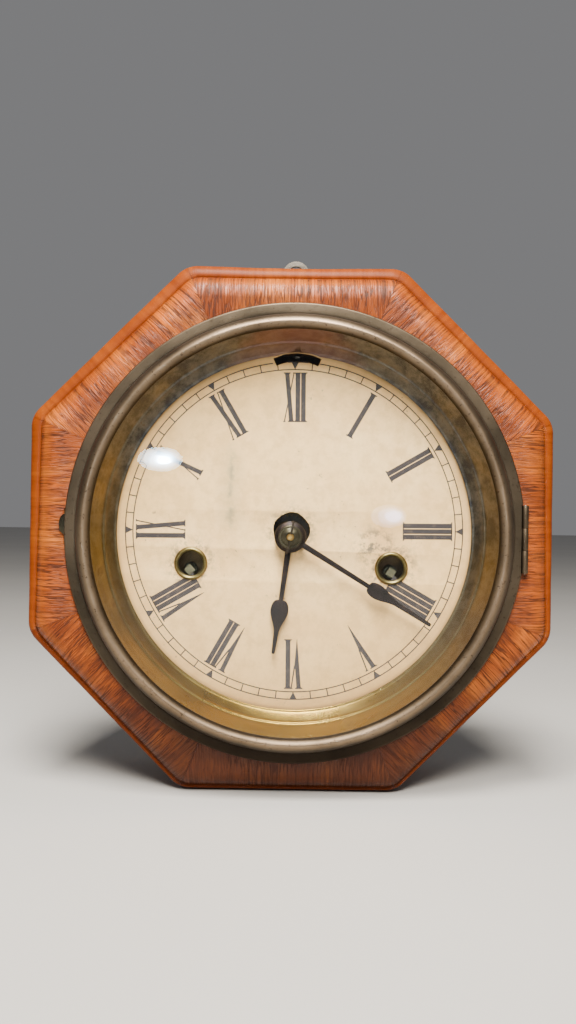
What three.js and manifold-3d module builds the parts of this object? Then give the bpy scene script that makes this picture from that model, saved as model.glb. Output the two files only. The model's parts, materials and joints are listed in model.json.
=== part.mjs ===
// Octagon lever wall clock: an eight-day, time-and-strike movement with a lever escapement,
// in a mitred eight-sided case with a hinged brass bezel and a six-inch dial.
//
// Units are millimetres, +Z is up and the clock faces -Y. The origin is on the wall plane, at
// the middle of the octagon. Depths are given as the distance in front of the wall, so a depth
// of 60 lies at y = -60. Angles on the face run counter-clockwise from +X, seen from the front.

import * as THREE from 'three';
import { mergeVertices } from 'three/addons/utils/BufferGeometryUtils.js';
import Module from 'manifold-3d';

const wasm = await Module();
wasm.setup();

// ---------------------------------------------------------------- driving dimensions

const GAP = 0.3; // running and seating clearance between neighbouring pieces

// Case
const SIDES = 8;
const HALF_TURN_OF_SIDE = Math.PI / SIDES;
const FRAME_APOTHEM = 118; // half of the size across flats
const FRAME_INNER_APOTHEM = 91;
const FRAME_BACK = 50;
const FRAME_LAND = 69.8; // depth of the flat land that the bezel closes on
const BOX_APOTHEM = 108;
const BOX_WALL = 9;
const BACK_BOARD_THICK = 6;
const DIAL_BOARD_FRONT = 60.2;

// Bezel
const BEZEL_X = 1.55;
const BEZEL_Z = -2.2;
const BEZEL_RADIUS = 101.3;
const GLASS_RADIUS = 92;
const GLASS_BACK = 77.9;
const GLASS_THICK = 2;
const HINGE_X = 102.9;
const HINGE_DEPTH = 70.9;
const HINGE_LOW = -18.6;
const HINGE_HIGH = 11.3;
const KNUCKLE_RADIUS = 1.5;

// Dial
const DIAL_X = 1.4;
const DIAL_Z = -2.15;
const DIAL_RADIUS = 84;
const DIAL_BACK = 60.5;
const DIAL_THICK = 0.8;
const DIAL_OPENING = 79.5; // radius that the brass pan leaves showing
const DIAL_BOARD_HOLE = 81;
const CENTRE_HOLE = { x: 0.25, z: -1.4, radius: 8.3 };
const REGULATOR_SLOT = { z: 53.5, inner: 21.2, outer: 24.9, halfAngle: 26 };
const GROMMET_RADIUS = 7.5;
const GROMMET_BORE = 5.5;

// Movement
const BACK_PLATE = 24; // depth of the back plate's rear face
const FRONT_PLATE = 49; // depth of the front plate's rear face
const PLATE_THICK = 1.6;
const PLATE = { half: 64, low: -46, high: 42, tongueLeft: -10, tongueRight: 13.5, tongueTop: 71 };
const PILLAR_RADIUS = 3;
const PILLAR_PIN_RADIUS = 1.5;
const ARBOR_RADIUS = 1;
const PIVOT_RADIUS = 0.6;
const CENTRE_ARBOR_RADIUS = 1.2;
const CANNON_RADIUS = 2.4;
const HOUR_PIPE_RADIUS = 3.7;
const WINDING_ARBOR_RADIUS = 2.8;
const WINDING_PIVOT_RADIUS = 2;
const HANDS = { x: -0.25, z: -4.1 };
const WINDING_X = 45.6;
const WINDING_Z = -19.8;
const BALANCE = { x: 1.8, z: 65 };
const LEVER = { x: 1.7, z: 51 };
const HAMMER = { x: -14, z: -40 };
const BELL = { x: 0, z: -73 };

// Gear pairs: tooth counts of the wheel and of the pinion that it drives, and their module
const GREAT = { teeth: 48, leaves: 8, module: 0.9 };
const SECOND = { teeth: 30, leaves: 15, module: 1.07 };
const CENTRE = { teeth: 45, leaves: 6, module: 0.67 };
const THIRD = { teeth: 48, leaves: 6, module: 0.6 };
const FOURTH = { teeth: 36, leaves: 6, module: 0.67 };
const STRIKE_SECOND = { teeth: 42, leaves: 6, module: 0.67 };
const STRIKE_THIRD = { teeth: 36, leaves: 6, module: 0.67 };
const STRIKE_FOURTH = { teeth: 36, leaves: 6, module: 0.6 };
const MINUTE = { teeth: 27, leaves: 9, module: 0.67 };
const HOUR = { teeth: 32, leaves: 8, module: 0.603 };
const ESCAPE_TEETH = 15;
const ESCAPE_RADIUS = 8;

// Depths of the wheels' rear faces between the plates
const SECOND_LAYER = 26.2;
const GREAT_LAYER = 28.6;
const RATCHET_LAYER = 31;
const CENTRE_LAYER = 32;
const THIRD_LAYER = 35.6;
const FOURTH_LAYER = 39;
const ESCAPE_LAYER = 42.6;
const WHEEL_THICK = 1.4;
const SPRING_BACK = 33.4;
const SPRING_WIDE = 13.8;

// Hands, as angles clockwise from twelve
const HOUR_ANGLE = 187.6;
const MINUTE_ANGLE = 121.4;

// ---------------------------------------------------------------- finishes

const finish = (color, roughness, metalness) => ({ color, roughness, metalness });
const WOOD = finish(0xa8572c, 0.38, 0);
const WOOD_PLAIN = finish(0x8a5a34, 0.7, 0);
const OLD_BRASS = finish(0x8d7458, 0.34, 1);
const BRASS = finish(0xb08d4a, 0.32, 1);
const STEEL = finish(0x77787a, 0.35, 1);
const BLUED = finish(0x23242b, 0.4, 0.9);
const GLASS = finish(0xdfe8ea, 0.05, 0);
const DIAL_WHITE = finish(0xe8d8bd, 0.75, 0);
const BELL_METAL = finish(0xa39877, 0.3, 1);

const clock = new THREE.Group();

function add(name, geometry, look) {
  const material = new THREE.MeshStandardMaterial(look);
  const mesh = new THREE.Mesh(geometry, material);
  mesh.name = name;
  clock.add(mesh);
  return mesh;
}

// ---------------------------------------------------------------- solids

function toSolid(geometry) {
  const bare = geometry.clone();
  bare.deleteAttribute('normal');
  bare.deleteAttribute('uv');
  const merged = mergeVertices(bare, 1e-5);
  return new wasm.Manifold(new wasm.Mesh({
    numProp: 3,
    vertProperties: Float32Array.from(merged.attributes.position.array),
    triVerts: Uint32Array.from(merged.index.array),
  }));
}

function toGeometry(solid) {
  const mesh = solid.getMesh();
  const geometry = new THREE.BufferGeometry();
  geometry.setAttribute('position', new THREE.BufferAttribute(mesh.vertProperties, 3));
  geometry.setIndex(new THREE.BufferAttribute(mesh.triVerts, 1));
  return geometry;
}

function join(first, ...others) {
  return toGeometry(others.reduce((solid, g) => solid.add(toSolid(g)), toSolid(first)));
}

function cut(first, ...tools) {
  return toGeometry(tools.reduce((solid, g) => solid.subtract(toSolid(g)), toSolid(first)));
}

// A flat piece: an outline on the face, from one depth forward by its thickness
function slab(shape, back, thick, curveSegments = 6) {
  const geometry = new THREE.ExtrudeGeometry(shape, {
    depth: thick,
    bevelEnabled: false,
    curveSegments,
  });
  geometry.rotateX(Math.PI / 2);
  geometry.translate(0, -back, 0);
  return geometry;
}

// A turned piece about an axis square to the face; the profile is [radius, depth] pairs
function turned(profile, x, z, segments = 40) {
  let points = profile.map(([radius, depth]) => new THREE.Vector2(radius, depth));
  if (THREE.ShapeUtils.area(points) < 0) points = points.reverse();
  points.push(points[0].clone());
  const geometry = new THREE.LatheGeometry(points, segments);
  geometry.rotateX(Math.PI);
  geometry.translate(x, 0, z);
  return geometry;
}

// A round bar square to the face
function rod(x, z, radius, back, front, sides = 8) {
  const geometry = new THREE.CylinderGeometry(radius, radius, front - back, sides);
  geometry.translate(x, -(back + front) / 2, z);
  return geometry;
}

// A box given by its limits across, in depth and in height
function block(left, right, back, front, low, high) {
  const geometry = new THREE.BoxGeometry(right - left, front - back, high - low);
  geometry.translate((left + right) / 2, -(back + front) / 2, (low + high) / 2);
  return geometry;
}

function polygon(points) {
  return new THREE.Shape(points.map(([x, z]) => new THREE.Vector2(x, z)));
}

function circle(x, z, radius) {
  const path = new THREE.Path();
  path.absarc(x, z, radius, 0, 2 * Math.PI, false);
  return path;
}

function disc(x, z, radius) {
  const shape = new THREE.Shape();
  shape.absarc(x, z, radius, 0, 2 * Math.PI, false);
  return shape;
}

function octagon(apothem) {
  const corner = apothem / Math.cos(HALF_TURN_OF_SIDE);
  const points = [];
  for (let i = 0; i < SIDES; i += 1) {
    const angle = (i + 0.5) * 2 * HALF_TURN_OF_SIDE;
    points.push([corner * Math.cos(angle), corner * Math.sin(angle)]);
  }
  return polygon(points);
}

// A curved bar between two radii and two angles, as an outline on the face
function arcBar(x, z, inner, outer, from, to) {
  const shape = new THREE.Shape();
  shape.absarc(x, z, outer, from, to, false);
  shape.absarc(x, z, inner, to, from, true);
  return shape;
}

const polar = (centre, distance, angle) => ({
  x: centre.x + distance * Math.cos(angle),
  z: centre.z + distance * Math.sin(angle),
});

const radians = THREE.MathUtils.degToRad;
const spacing = (pair) => (pair.module * (pair.teeth + pair.leaves)) / 2;
const between = (a, b) => Math.atan2(b.z - a.z, b.x - a.x);

// ---------------------------------------------------------------- gears

// Angle of one tooth of the second gear, so that it meshes with the first one
function meshingAngle(from, to, phase, teeth, otherTeeth) {
  const line = between(from, to);
  const pitch = (2 * Math.PI) / teeth;
  const share = (line - phase) / pitch;
  return line + Math.PI + (share - Math.floor(share) + 0.5) * ((2 * Math.PI) / otherTeeth);
}

// Pointed clock teeth: narrow enough at the pitch circle to run free at any angle
function toothedOutline(at, teeth, module, phase) {
  const pitchRadius = (module * teeth) / 2;
  const tip = pitchRadius + 0.8 * module;
  const root = pitchRadius - 1.2 * module;
  const points = [];
  for (let i = 0; i < teeth; i += 1) {
    const angle = phase + (i * 2 * Math.PI) / teeth;
    for (const [radius, turn] of [[tip, angle], [root, angle + Math.PI / teeth]]) {
      points.push([at.x + radius * Math.cos(turn), at.z + radius * Math.sin(turn)]);
    }
  }
  return polygon(points);
}

// Four crossings cut out of a wheel, leaving a rim, a hub and four arms
function crossings(at, hub, rim) {
  const arm = 0.16;
  const holes = [];
  for (let i = 0; i < 4; i += 1) {
    const from = (i * Math.PI) / 2 + arm;
    const to = ((i + 1) * Math.PI) / 2 - arm;
    const middle = (from + to) / 2;
    const inner = polar(at, hub, middle);
    const outerStart = polar(at, rim, from);
    const outerMiddle = polar(at, rim, middle);
    const outerEnd = polar(at, rim, to);
    const corners = [inner, outerStart, outerMiddle, outerEnd];
    holes.push(new THREE.Path(corners.map((p) => new THREE.Vector2(p.x, p.z))));
  }
  return holes;
}

function wheel(at, teeth, module, phase, back, thick = WHEEL_THICK) {
  const shape = toothedOutline(at, teeth, module, phase);
  const rim = (module * teeth) / 2 - 2.6 * module - 0.4;
  if (rim > 7) shape.holes.push(...crossings(at, 3.4, rim));
  return slab(shape, back, thick);
}

const pinion = (at, leaves, module, phase, back, thick) => (
  slab(toothedOutline(at, leaves, module, phase), back, thick)
);

// An arbor between the plates, with a thinner pivot in each plate
function arbor(at) {
  const shaft = rod(at.x, at.z, ARBOR_RADIUS, BACK_PLATE + PLATE_THICK + GAP, FRONT_PLATE - GAP);
  const pivots = rod(at.x, at.z, PIVOT_RADIUS, BACK_PLATE + 0.2, FRONT_PLATE + PLATE_THICK - 0.2);
  return join(shaft, pivots);
}

// Where an arbor stands that meshes with two others, below the line that joins them
function meshingPoint(a, fromA, b, fromB) {
  const apart = Math.hypot(b.x - a.x, b.z - a.z);
  const along = (fromA ** 2 - fromB ** 2 + apart ** 2) / (2 * apart);
  const aside = Math.sqrt(fromA ** 2 - along ** 2);
  const angle = between(a, b);
  return {
    x: a.x + along * Math.cos(angle) - aside * Math.sin(angle),
    z: a.z + along * Math.sin(angle) + aside * Math.cos(angle),
  };
}

// ---------------------------------------------------------------- where the arbors stand

const timeMain = { x: WINDING_X, z: WINDING_Z };
const strikeMain = { x: -WINDING_X, z: WINDING_Z };
const timeSecond = meshingPoint(timeMain, spacing(GREAT), HANDS, spacing(SECOND));
const timeThird = polar(HANDS, spacing(CENTRE), radians(60));
const timeFourth = polar(timeThird, spacing(THIRD), radians(105));
const escape = polar(timeFourth, spacing(FOURTH), radians(100));
const strikeSecond = polar(strikeMain, spacing(GREAT), radians(62));
const strikeThird = polar(strikeSecond, spacing(STRIKE_SECOND), radians(95));
const strikeFourth = polar(strikeThird, spacing(STRIKE_THIRD), radians(50));
const fly = polar(strikeFourth, spacing(STRIKE_FOURTH), radians(150));
const minuteStud = polar(HANDS, spacing(MINUTE), radians(-55));

const thinArbors = [
  timeSecond, timeThird, timeFourth, escape, LEVER, BALANCE,
  strikeSecond, strikeThird, strikeFourth, fly, HAMMER,
];

// ---------------------------------------------------------------- case

// One side of the moulding, made on the bottom side's line and then turned into place: an outer
// edge, a quirk, and a swelling face that dies into the land under the bezel
function railProfile() {
  const shape = new THREE.Shape();
  shape.moveTo(FRAME_INNER_APOTHEM, FRAME_BACK);
  shape.lineTo(FRAME_APOTHEM, FRAME_BACK);
  shape.lineTo(FRAME_APOTHEM, 57.5);
  shape.quadraticCurveTo(FRAME_APOTHEM, 61.6, 114.6, 62.2);
  shape.lineTo(113.8, 62);
  shape.quadraticCurveTo(111.6, 69, 101.5, FRAME_LAND);
  shape.lineTo(FRAME_INNER_APOTHEM, FRAME_LAND);
  shape.closePath();
  return shape;
}

function rail(side) {
  const mitreGap = GAP / 2;
  const geometry = new THREE.ExtrudeGeometry(railProfile(), {
    depth: 1,
    bevelEnabled: false,
    curveSegments: 4,
  });
  const position = geometry.attributes.position;
  for (let i = 0; i < position.count; i += 1) {
    const outward = position.getX(i);
    const depth = position.getY(i);
    const end = position.getZ(i) > 0.5 ? 1 : -1;
    const along = end * (outward * Math.tan(HALF_TURN_OF_SIDE) - mitreGap);
    position.setXYZ(i, outward, -depth, -along);
  }
  geometry.rotateY(-side * 2 * HALF_TURN_OF_SIDE);
  return geometry;
}

function makeFrame() {
  const names = [
    'right', 'top_right', 'top', 'top_left', 'left', 'bottom_left', 'bottom', 'bottom_right',
  ];
  const mortiseFloor = FRAME_LAND - 1;
  const hingeMortise = block(93, HINGE_X + 2.1, mortiseFloor, 75, HINGE_LOW - GAP, HINGE_HIGH + GAP);
  const keeperMortise = block(-100.3, -93, mortiseFloor, 75, -7.3, 7.3);
  names.forEach((name, side) => {
    let geometry = rail(side);
    if (name === 'right') geometry = cut(geometry, hingeMortise);
    if (name === 'left') geometry = cut(geometry, keeperMortise);
    add(`frame_rail_${name}`, geometry, WOOD);
  });
}

// The iron loop that hangs on a nail: its tongue is filed thinner, to lie in the back board
const HANGER = {
  x: 0.9, half: 7, low: 98, shoulder: BOX_APOTHEM + GAP, eye: 127.6, hole: 3.25,
  thick: 1.6, tongueThick: 1.3,
};

function makeHanger() {
  const left = HANGER.x - HANGER.half;
  const right = HANGER.x + HANGER.half;
  const loop = new THREE.Shape();
  loop.moveTo(left, HANGER.shoulder);
  loop.lineTo(right, HANGER.shoulder);
  loop.absarc(HANGER.x, HANGER.eye, HANGER.half, 0, Math.PI, false);
  loop.closePath();
  loop.holes.push(circle(HANGER.x, HANGER.eye + 0.4, HANGER.hole));
  const tongue = block(left, right, GAP, GAP + HANGER.tongueThick, HANGER.low, HANGER.shoulder + 1);
  add('hanger_plate', join(slab(loop, GAP, HANGER.thick, 10), tongue), STEEL);
}

function makeBox() {
  const ring = octagon(BOX_APOTHEM);
  ring.holes.push(octagon(BOX_APOTHEM - BOX_WALL));
  const boxBack = BACK_BOARD_THICK + GAP;
  add('case_box', slab(ring, boxBack, FRAME_BACK - GAP - boxBack), WOOD_PLAIN);

  const recess = block(
    HANGER.x - HANGER.half - GAP, HANGER.x + HANGER.half + GAP,
    -1, HANGER.thick + 2 * GAP,
    HANGER.low - GAP, BOX_APOTHEM + 1,
  );
  const board = slab(octagon(BOX_APOTHEM), 0, BACK_BOARD_THICK);
  add('back_board', cut(board, recess), WOOD_PLAIN);

  const dialBoard = octagon(FRAME_INNER_APOTHEM - GAP);
  dialBoard.holes.push(circle(DIAL_X, DIAL_Z, DIAL_BOARD_HOLE));
  const boardBack = FRAME_BACK + GAP;
  add('dial_board', slab(dialBoard, boardBack, DIAL_BOARD_FRONT - boardBack, 24), WOOD_PLAIN);
}

// ---------------------------------------------------------------- dial

// The slot by twelve that the regulator is reached through, flatter than the regulator's own path
function slotOutline(inner, outer, halfAngle) {
  const start = radians(90 - halfAngle);
  return arcBar(BALANCE.x, REGULATOR_SLOT.z, inner, outer, start, radians(90 + halfAngle));
}

const grommets = {
  strike: { x: -44.8, z: -16.7 },
  time: { x: 45.3, z: -17.7 },
};

function makeDial() {
  const shape = disc(DIAL_X, DIAL_Z, DIAL_RADIUS);
  shape.holes.push(circle(CENTRE_HOLE.x, CENTRE_HOLE.z, CENTRE_HOLE.radius));
  for (const at of Object.values(grommets)) {
    shape.holes.push(circle(at.x, at.z, GROMMET_BORE + 0.8 + GAP));
  }
  const plate = slab(shape, DIAL_BACK, DIAL_THICK, 16);
  const { inner, outer, halfAngle } = REGULATOR_SLOT;
  const slotCutter = slab(slotOutline(inner, outer, halfAngle), DIAL_BACK - 1, 4, 5);
  add('dial_plate', cut(plate, slotCutter), DIAL_WHITE);

  for (const [side, at] of Object.entries(grommets)) {
    const flange = DIAL_BACK + DIAL_THICK + GAP;
    const profile = [
      [GROMMET_BORE, DIAL_BACK - 0.6],
      [GROMMET_BORE + 0.8, DIAL_BACK - 0.6],
      [GROMMET_BORE + 0.8, flange],
      [GROMMET_RADIUS, flange],
      [GROMMET_RADIUS - 0.5, flange + 0.7],
      [GROMMET_BORE + 0.6, flange + 0.9],
    ];
    add(`winding_grommet_${side}`, turned(profile, at.x, at.z, 16), BRASS);
  }
}

// The pressed brass pan: a lip on the dial, a narrow step, a ridge and a wide sloping wall
function makePan() {
  const profile = [
    [DIAL_OPENING, 62.6], [80.6, 62.8], [84, 66.8], [85, 67.6], [89.6, 75.6],
    [90.8, 75.6], [85.9, 66.8], [84.6, 65.6], [81, 61.7], [DIAL_OPENING, 61.7],
  ];
  const room = 0.6;
  const { inner, outer, halfAngle } = REGULATOR_SLOT;
  const notch = slab(slotOutline(inner - room, outer + room, halfAngle + 2), DIAL_BACK - 0.5, 3.6, 5);
  add('dial_pan', cut(turned(profile, DIAL_X, DIAL_Z), notch), BRASS);
}

// ---------------------------------------------------------------- bezel

function makeBezel() {
  const profile = [
    [BEZEL_RADIUS, 70.1], [BEZEL_RADIUS, 72], [95.6, 72], [95.2, 78.4], [93.4, 82],
    [91.2, 83], [89, 82], [88.3, 80.3], [89.4, 80.3], [92.4, 81.2],
    [94.6, 71.2], [100.4, 71.2], [100.4, 70.1],
  ];
  const ring = turned(profile, BEZEL_X, BEZEL_Z);
  const barrelRoom = block(HINGE_X - 1.9, 106, 69, 74, HINGE_LOW - GAP, HINGE_HIGH + GAP);
  const leafRoom = block(96, 106, 69, 71.1, HINGE_LOW - GAP, HINGE_HIGH + GAP);
  const catchRoom = block(-103, -98.2, 69, 71.1, -5.3, 5.3);
  add('bezel_ring', cut(ring, barrelRoom, leafRoom, catchRoom), OLD_BRASS);

  add('glass', slab(disc(BEZEL_X, BEZEL_Z, GLASS_RADIUS), GLASS_BACK, GLASS_THICK, 24), GLASS);

  const holding = [[88.8, 76.5], [92.9, 76.5], [92.9, 77.5], [88.8, 77.5]];
  add('glass_retainer', turned(holding, BEZEL_X, BEZEL_Z), OLD_BRASS);
}

// A knuckle of the hinge barrel, bored for the pin
function knuckle(low, high) {
  const sleeve = new THREE.CylinderGeometry(KNUCKLE_RADIUS, KNUCKLE_RADIUS, high - low, 10);
  sleeve.rotateX(Math.PI / 2);
  sleeve.translate(HINGE_X, -HINGE_DEPTH, (low + high) / 2);
  return sleeve;
}

function pinBar(radius, low, high) {
  const bar = new THREE.CylinderGeometry(radius, radius, high - low, 10);
  bar.rotateX(Math.PI / 2);
  bar.translate(HINGE_X, -HINGE_DEPTH, (low + high) / 2);
  return bar;
}

function makeHinge() {
  const third = (HINGE_HIGH - HINGE_LOW) / 3;
  const lowJoint = HINGE_LOW + third;
  const highJoint = HINGE_HIGH - third;
  const bore = pinBar(0.85, HINGE_LOW - 1, HINGE_HIGH + 1);

  const leafRoot = HINGE_X - 0.9;
  const caseLeaf = block(95, leafRoot, 69.1, 69.9, HINGE_LOW, HINGE_HIGH);
  const middleRoom = block(HINGE_X - 2, 106, 68, 73, lowJoint - GAP / 2, highJoint + GAP / 2);
  const caseSide = join(caseLeaf, knuckle(HINGE_LOW, lowJoint), knuckle(highJoint, HINGE_HIGH));
  add('hinge_leaf_case', cut(caseSide, middleRoom, bore), BRASS);

  const bezelLeaf = block(96.3, leafRoot, 70.2, 70.9, lowJoint + GAP / 2, highJoint - GAP / 2);
  const bezelSide = join(bezelLeaf, knuckle(lowJoint + GAP / 2, highJoint - GAP / 2));
  add('hinge_leaf_bezel', cut(bezelSide, bore), BRASS);
  add('hinge_pin', pinBar(0.55, HINGE_LOW - 0.2, HINGE_HIGH + 0.2), STEEL);
}

// A thumb tab soldered under the bezel, and the sprung keeper that it snaps over
function makeCatch() {
  const tab = new THREE.Shape();
  tab.moveTo(-95.6, -4.3);
  tab.lineTo(-99.5, -4.3);
  tab.quadraticCurveTo(-102.3, -3.4, -102.3, 0.3);
  tab.quadraticCurveTo(-102.3, 4, -99.5, 4.9);
  tab.lineTo(-95.6, 4.9);
  tab.closePath();
  add('catch_tab', slab(tab, 70.2, 0.7, 5), OLD_BRASS);
  const leaf = block(-100, -94.6, 69.1, 69.7, -7, 7);
  add('catch_keeper', leaf, BRASS);
}

// ---------------------------------------------------------------- movement plates

function plateOutline() {
  const { half, low, high, tongueLeft, tongueRight, tongueTop } = PLATE;
  return polygon([
    [-half, low], [half, low], [half, high], [tongueRight, high], [tongueRight, tongueTop],
    [tongueLeft, tongueTop], [tongueLeft, high], [-half, high],
  ]);
}

const pillars = [[-60, -42], [60, -42], [-56, 36], [56, 36]];

function makePlates() {
  const pivotHole = PIVOT_RADIUS + GAP;
  const hole = (at, radius) => circle(at.x, at.z, radius);
  const pillarHoles = pillars.map(([x, z]) => circle(x, z, PILLAR_PIN_RADIUS + GAP));
  const smallHoles = (ownHoles) => (
    thinArbors.filter((at) => !ownHoles.includes(at)).map((at) => hole(at, pivotHole))
  );

  const backOutline = plateOutline();
  backOutline.holes.push(
    ...smallHoles([HAMMER]), ...pillarHoles,
    hole(HANDS, CENTRE_ARBOR_RADIUS + GAP),
    hole(timeMain, WINDING_PIVOT_RADIUS + 2 * GAP),
    hole(strikeMain, WINDING_PIVOT_RADIUS + 2 * GAP),
    hole(HAMMER, ARBOR_RADIUS + GAP),
  );
  let back = slab(backOutline, BACK_PLATE, PLATE_THICK, 4);
  for (const side of [-1, 1]) {
    for (const [edge, outward] of [[PLATE.low, -1], [PLATE.high, 1]]) {
      const x = side * 46;
      const inner = edge - outward * 1.6;
      const leg = block(x - 4, x + 4, 6.4, BACK_PLATE + 0.8, Math.min(edge, inner), Math.max(edge, inner));
      const outer = edge + outward * 8;
      const foot = block(x - 4, x + 4, 6.3, 7.9, Math.min(inner, outer), Math.max(inner, outer));
      back = join(back, leg, foot);
    }
  }
  add('plate_back', back, BRASS);

  const frontOutline = plateOutline();
  frontOutline.holes.push(
    ...smallHoles([]), ...pillarHoles,
    hole(HANDS, CANNON_RADIUS + 2 * GAP),
    hole(timeMain, WINDING_ARBOR_RADIUS + 2 * GAP),
    hole(strikeMain, WINDING_ARBOR_RADIUS + 2 * GAP),
  );
  const front = slab(frontOutline, FRONT_PLATE, PLATE_THICK, 4);
  const curbSlot = slab(
    arcBar(BALANCE.x, BALANCE.z, 8.1, 9.7, radians(-122), radians(-58)),
    FRONT_PLATE - 1, 4, 3,
  );
  const boss = cut(
    rod(BALANCE.x, BALANCE.z, 1.8, FRONT_PLATE + 0.4, FRONT_PLATE + 3.2),
    rod(BALANCE.x, BALANCE.z, pivotHole, FRONT_PLATE - 1, FRONT_PLATE + 2.2),
  );
  const stud = rod(minuteStud.x, minuteStud.z, 0.7, FRONT_PLATE + 0.4, FRONT_PLATE + 7.4);
  add('plate_front', join(cut(front, curbSlot), boss, stud), BRASS);

  pillars.forEach(([x, z], i) => {
    const body = rod(x, z, PILLAR_RADIUS, BACK_PLATE + PLATE_THICK + GAP, FRONT_PLATE - GAP, 10);
    const pinEnd = FRONT_PLATE + PLATE_THICK + 0.8;
    const pins = rod(x, z, PILLAR_PIN_RADIUS, BACK_PLATE - 0.8, pinEnd, 10);
    add(`pillar_${i + 1}`, join(body, pins), STEEL);
  });
}

// ---------------------------------------------------------------- time train

// A flat strip wound as an open spiral
function spiral(at, inner, outer, turns, thick, start) {
  const steps = turns * 12;
  const side = (offset) => {
    const points = [];
    for (let i = 0; i <= steps; i += 1) {
      const radius = inner + ((outer - inner) * i) / steps + offset;
      const angle = start + (i / steps) * turns * 2 * Math.PI;
      points.push([at.x + radius * Math.cos(angle), at.z + radius * Math.sin(angle)]);
    }
    return points;
  };
  return polygon([...side(0), ...side(thick).reverse()]);
}

// The ratchet that holds the winding, on the winding arbor
function ratchetOutline(at, teeth, root, tip) {
  const points = [];
  for (let i = 0; i < teeth; i += 1) {
    const angle = (i * 2 * Math.PI) / teeth;
    const next = ((i + 0.9) * 2 * Math.PI) / teeth;
    points.push([at.x + tip * Math.cos(angle), at.z + tip * Math.sin(angle)]);
    points.push([at.x + root * Math.cos(next), at.z + root * Math.sin(next)]);
  }
  return polygon(points);
}

function squareTip(at, turn) {
  const side = 3.6;
  const tip = new THREE.BoxGeometry(side, 7.2, side);
  tip.rotateY(turn);
  tip.translate(at.x, -(FRONT_PLATE + 5), at.z);
  return tip;
}

// Great wheel, winding arbor with its ratchet, click and mainspring of one train
function makeSpringBarrel(train, at, squareTurn, phase) {
  const rimWheel = wheel(at, GREAT.teeth, GREAT.module, phase, GREAT_LAYER, 1.8);
  const bore = rod(at.x, at.z, WINDING_ARBOR_RADIUS + GAP, GREAT_LAYER - 1, GREAT_LAYER + 3, 12);
  const clickAt = polar(at, 13.6, radians(90));
  const clickStud = rod(clickAt.x, clickAt.z, 0.9, GREAT_LAYER + 1, RATCHET_LAYER + 1.6);
  const studPad = rod(clickAt.x, clickAt.z, 2, GREAT_LAYER, GREAT_LAYER + 1.8);
  add(`${train}_great_wheel`, cut(join(rimWheel, studPad, clickStud), bore), BRASS);

  const shaftBack = BACK_PLATE + PLATE_THICK + GAP;
  const shaft = rod(at.x, at.z, WINDING_ARBOR_RADIUS, shaftBack, FRONT_PLATE + 2.2, 12);
  const backPivot = rod(at.x, at.z, WINDING_PIVOT_RADIUS, BACK_PLATE + 0.2, BACK_PLATE + 4, 12);
  const ratchet = slab(ratchetOutline(at, 14, 6.4, 8), RATCHET_LAYER, WHEEL_THICK);
  const winder = join(shaft, backPivot, ratchet, squareTip(at, squareTurn));
  add(`${train}_winding_arbor`, winder, STEEL);

  const click = polygon([
    [clickAt.x - 2.2, clickAt.z - 1.8], [clickAt.x + 2, clickAt.z - 2],
    [clickAt.x + 2.2, clickAt.z + 2], [clickAt.x - 2.6, clickAt.z + 1.6],
    [clickAt.x - 6.8, clickAt.z - 7.2], [clickAt.x - 5.6, clickAt.z - 7],
  ]);
  click.holes.push(circle(clickAt.x, clickAt.z, 0.9 + GAP));
  add(`${train}_click`, slab(click, RATCHET_LAYER, WHEEL_THICK, 4), STEEL);

  const strip = spiral(at, 3.6, 18.4, 4, 0.9, radians(200));
  add(`${train}_mainspring`, slab(strip, SPRING_BACK, SPRING_WIDE), STEEL);
}

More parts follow.
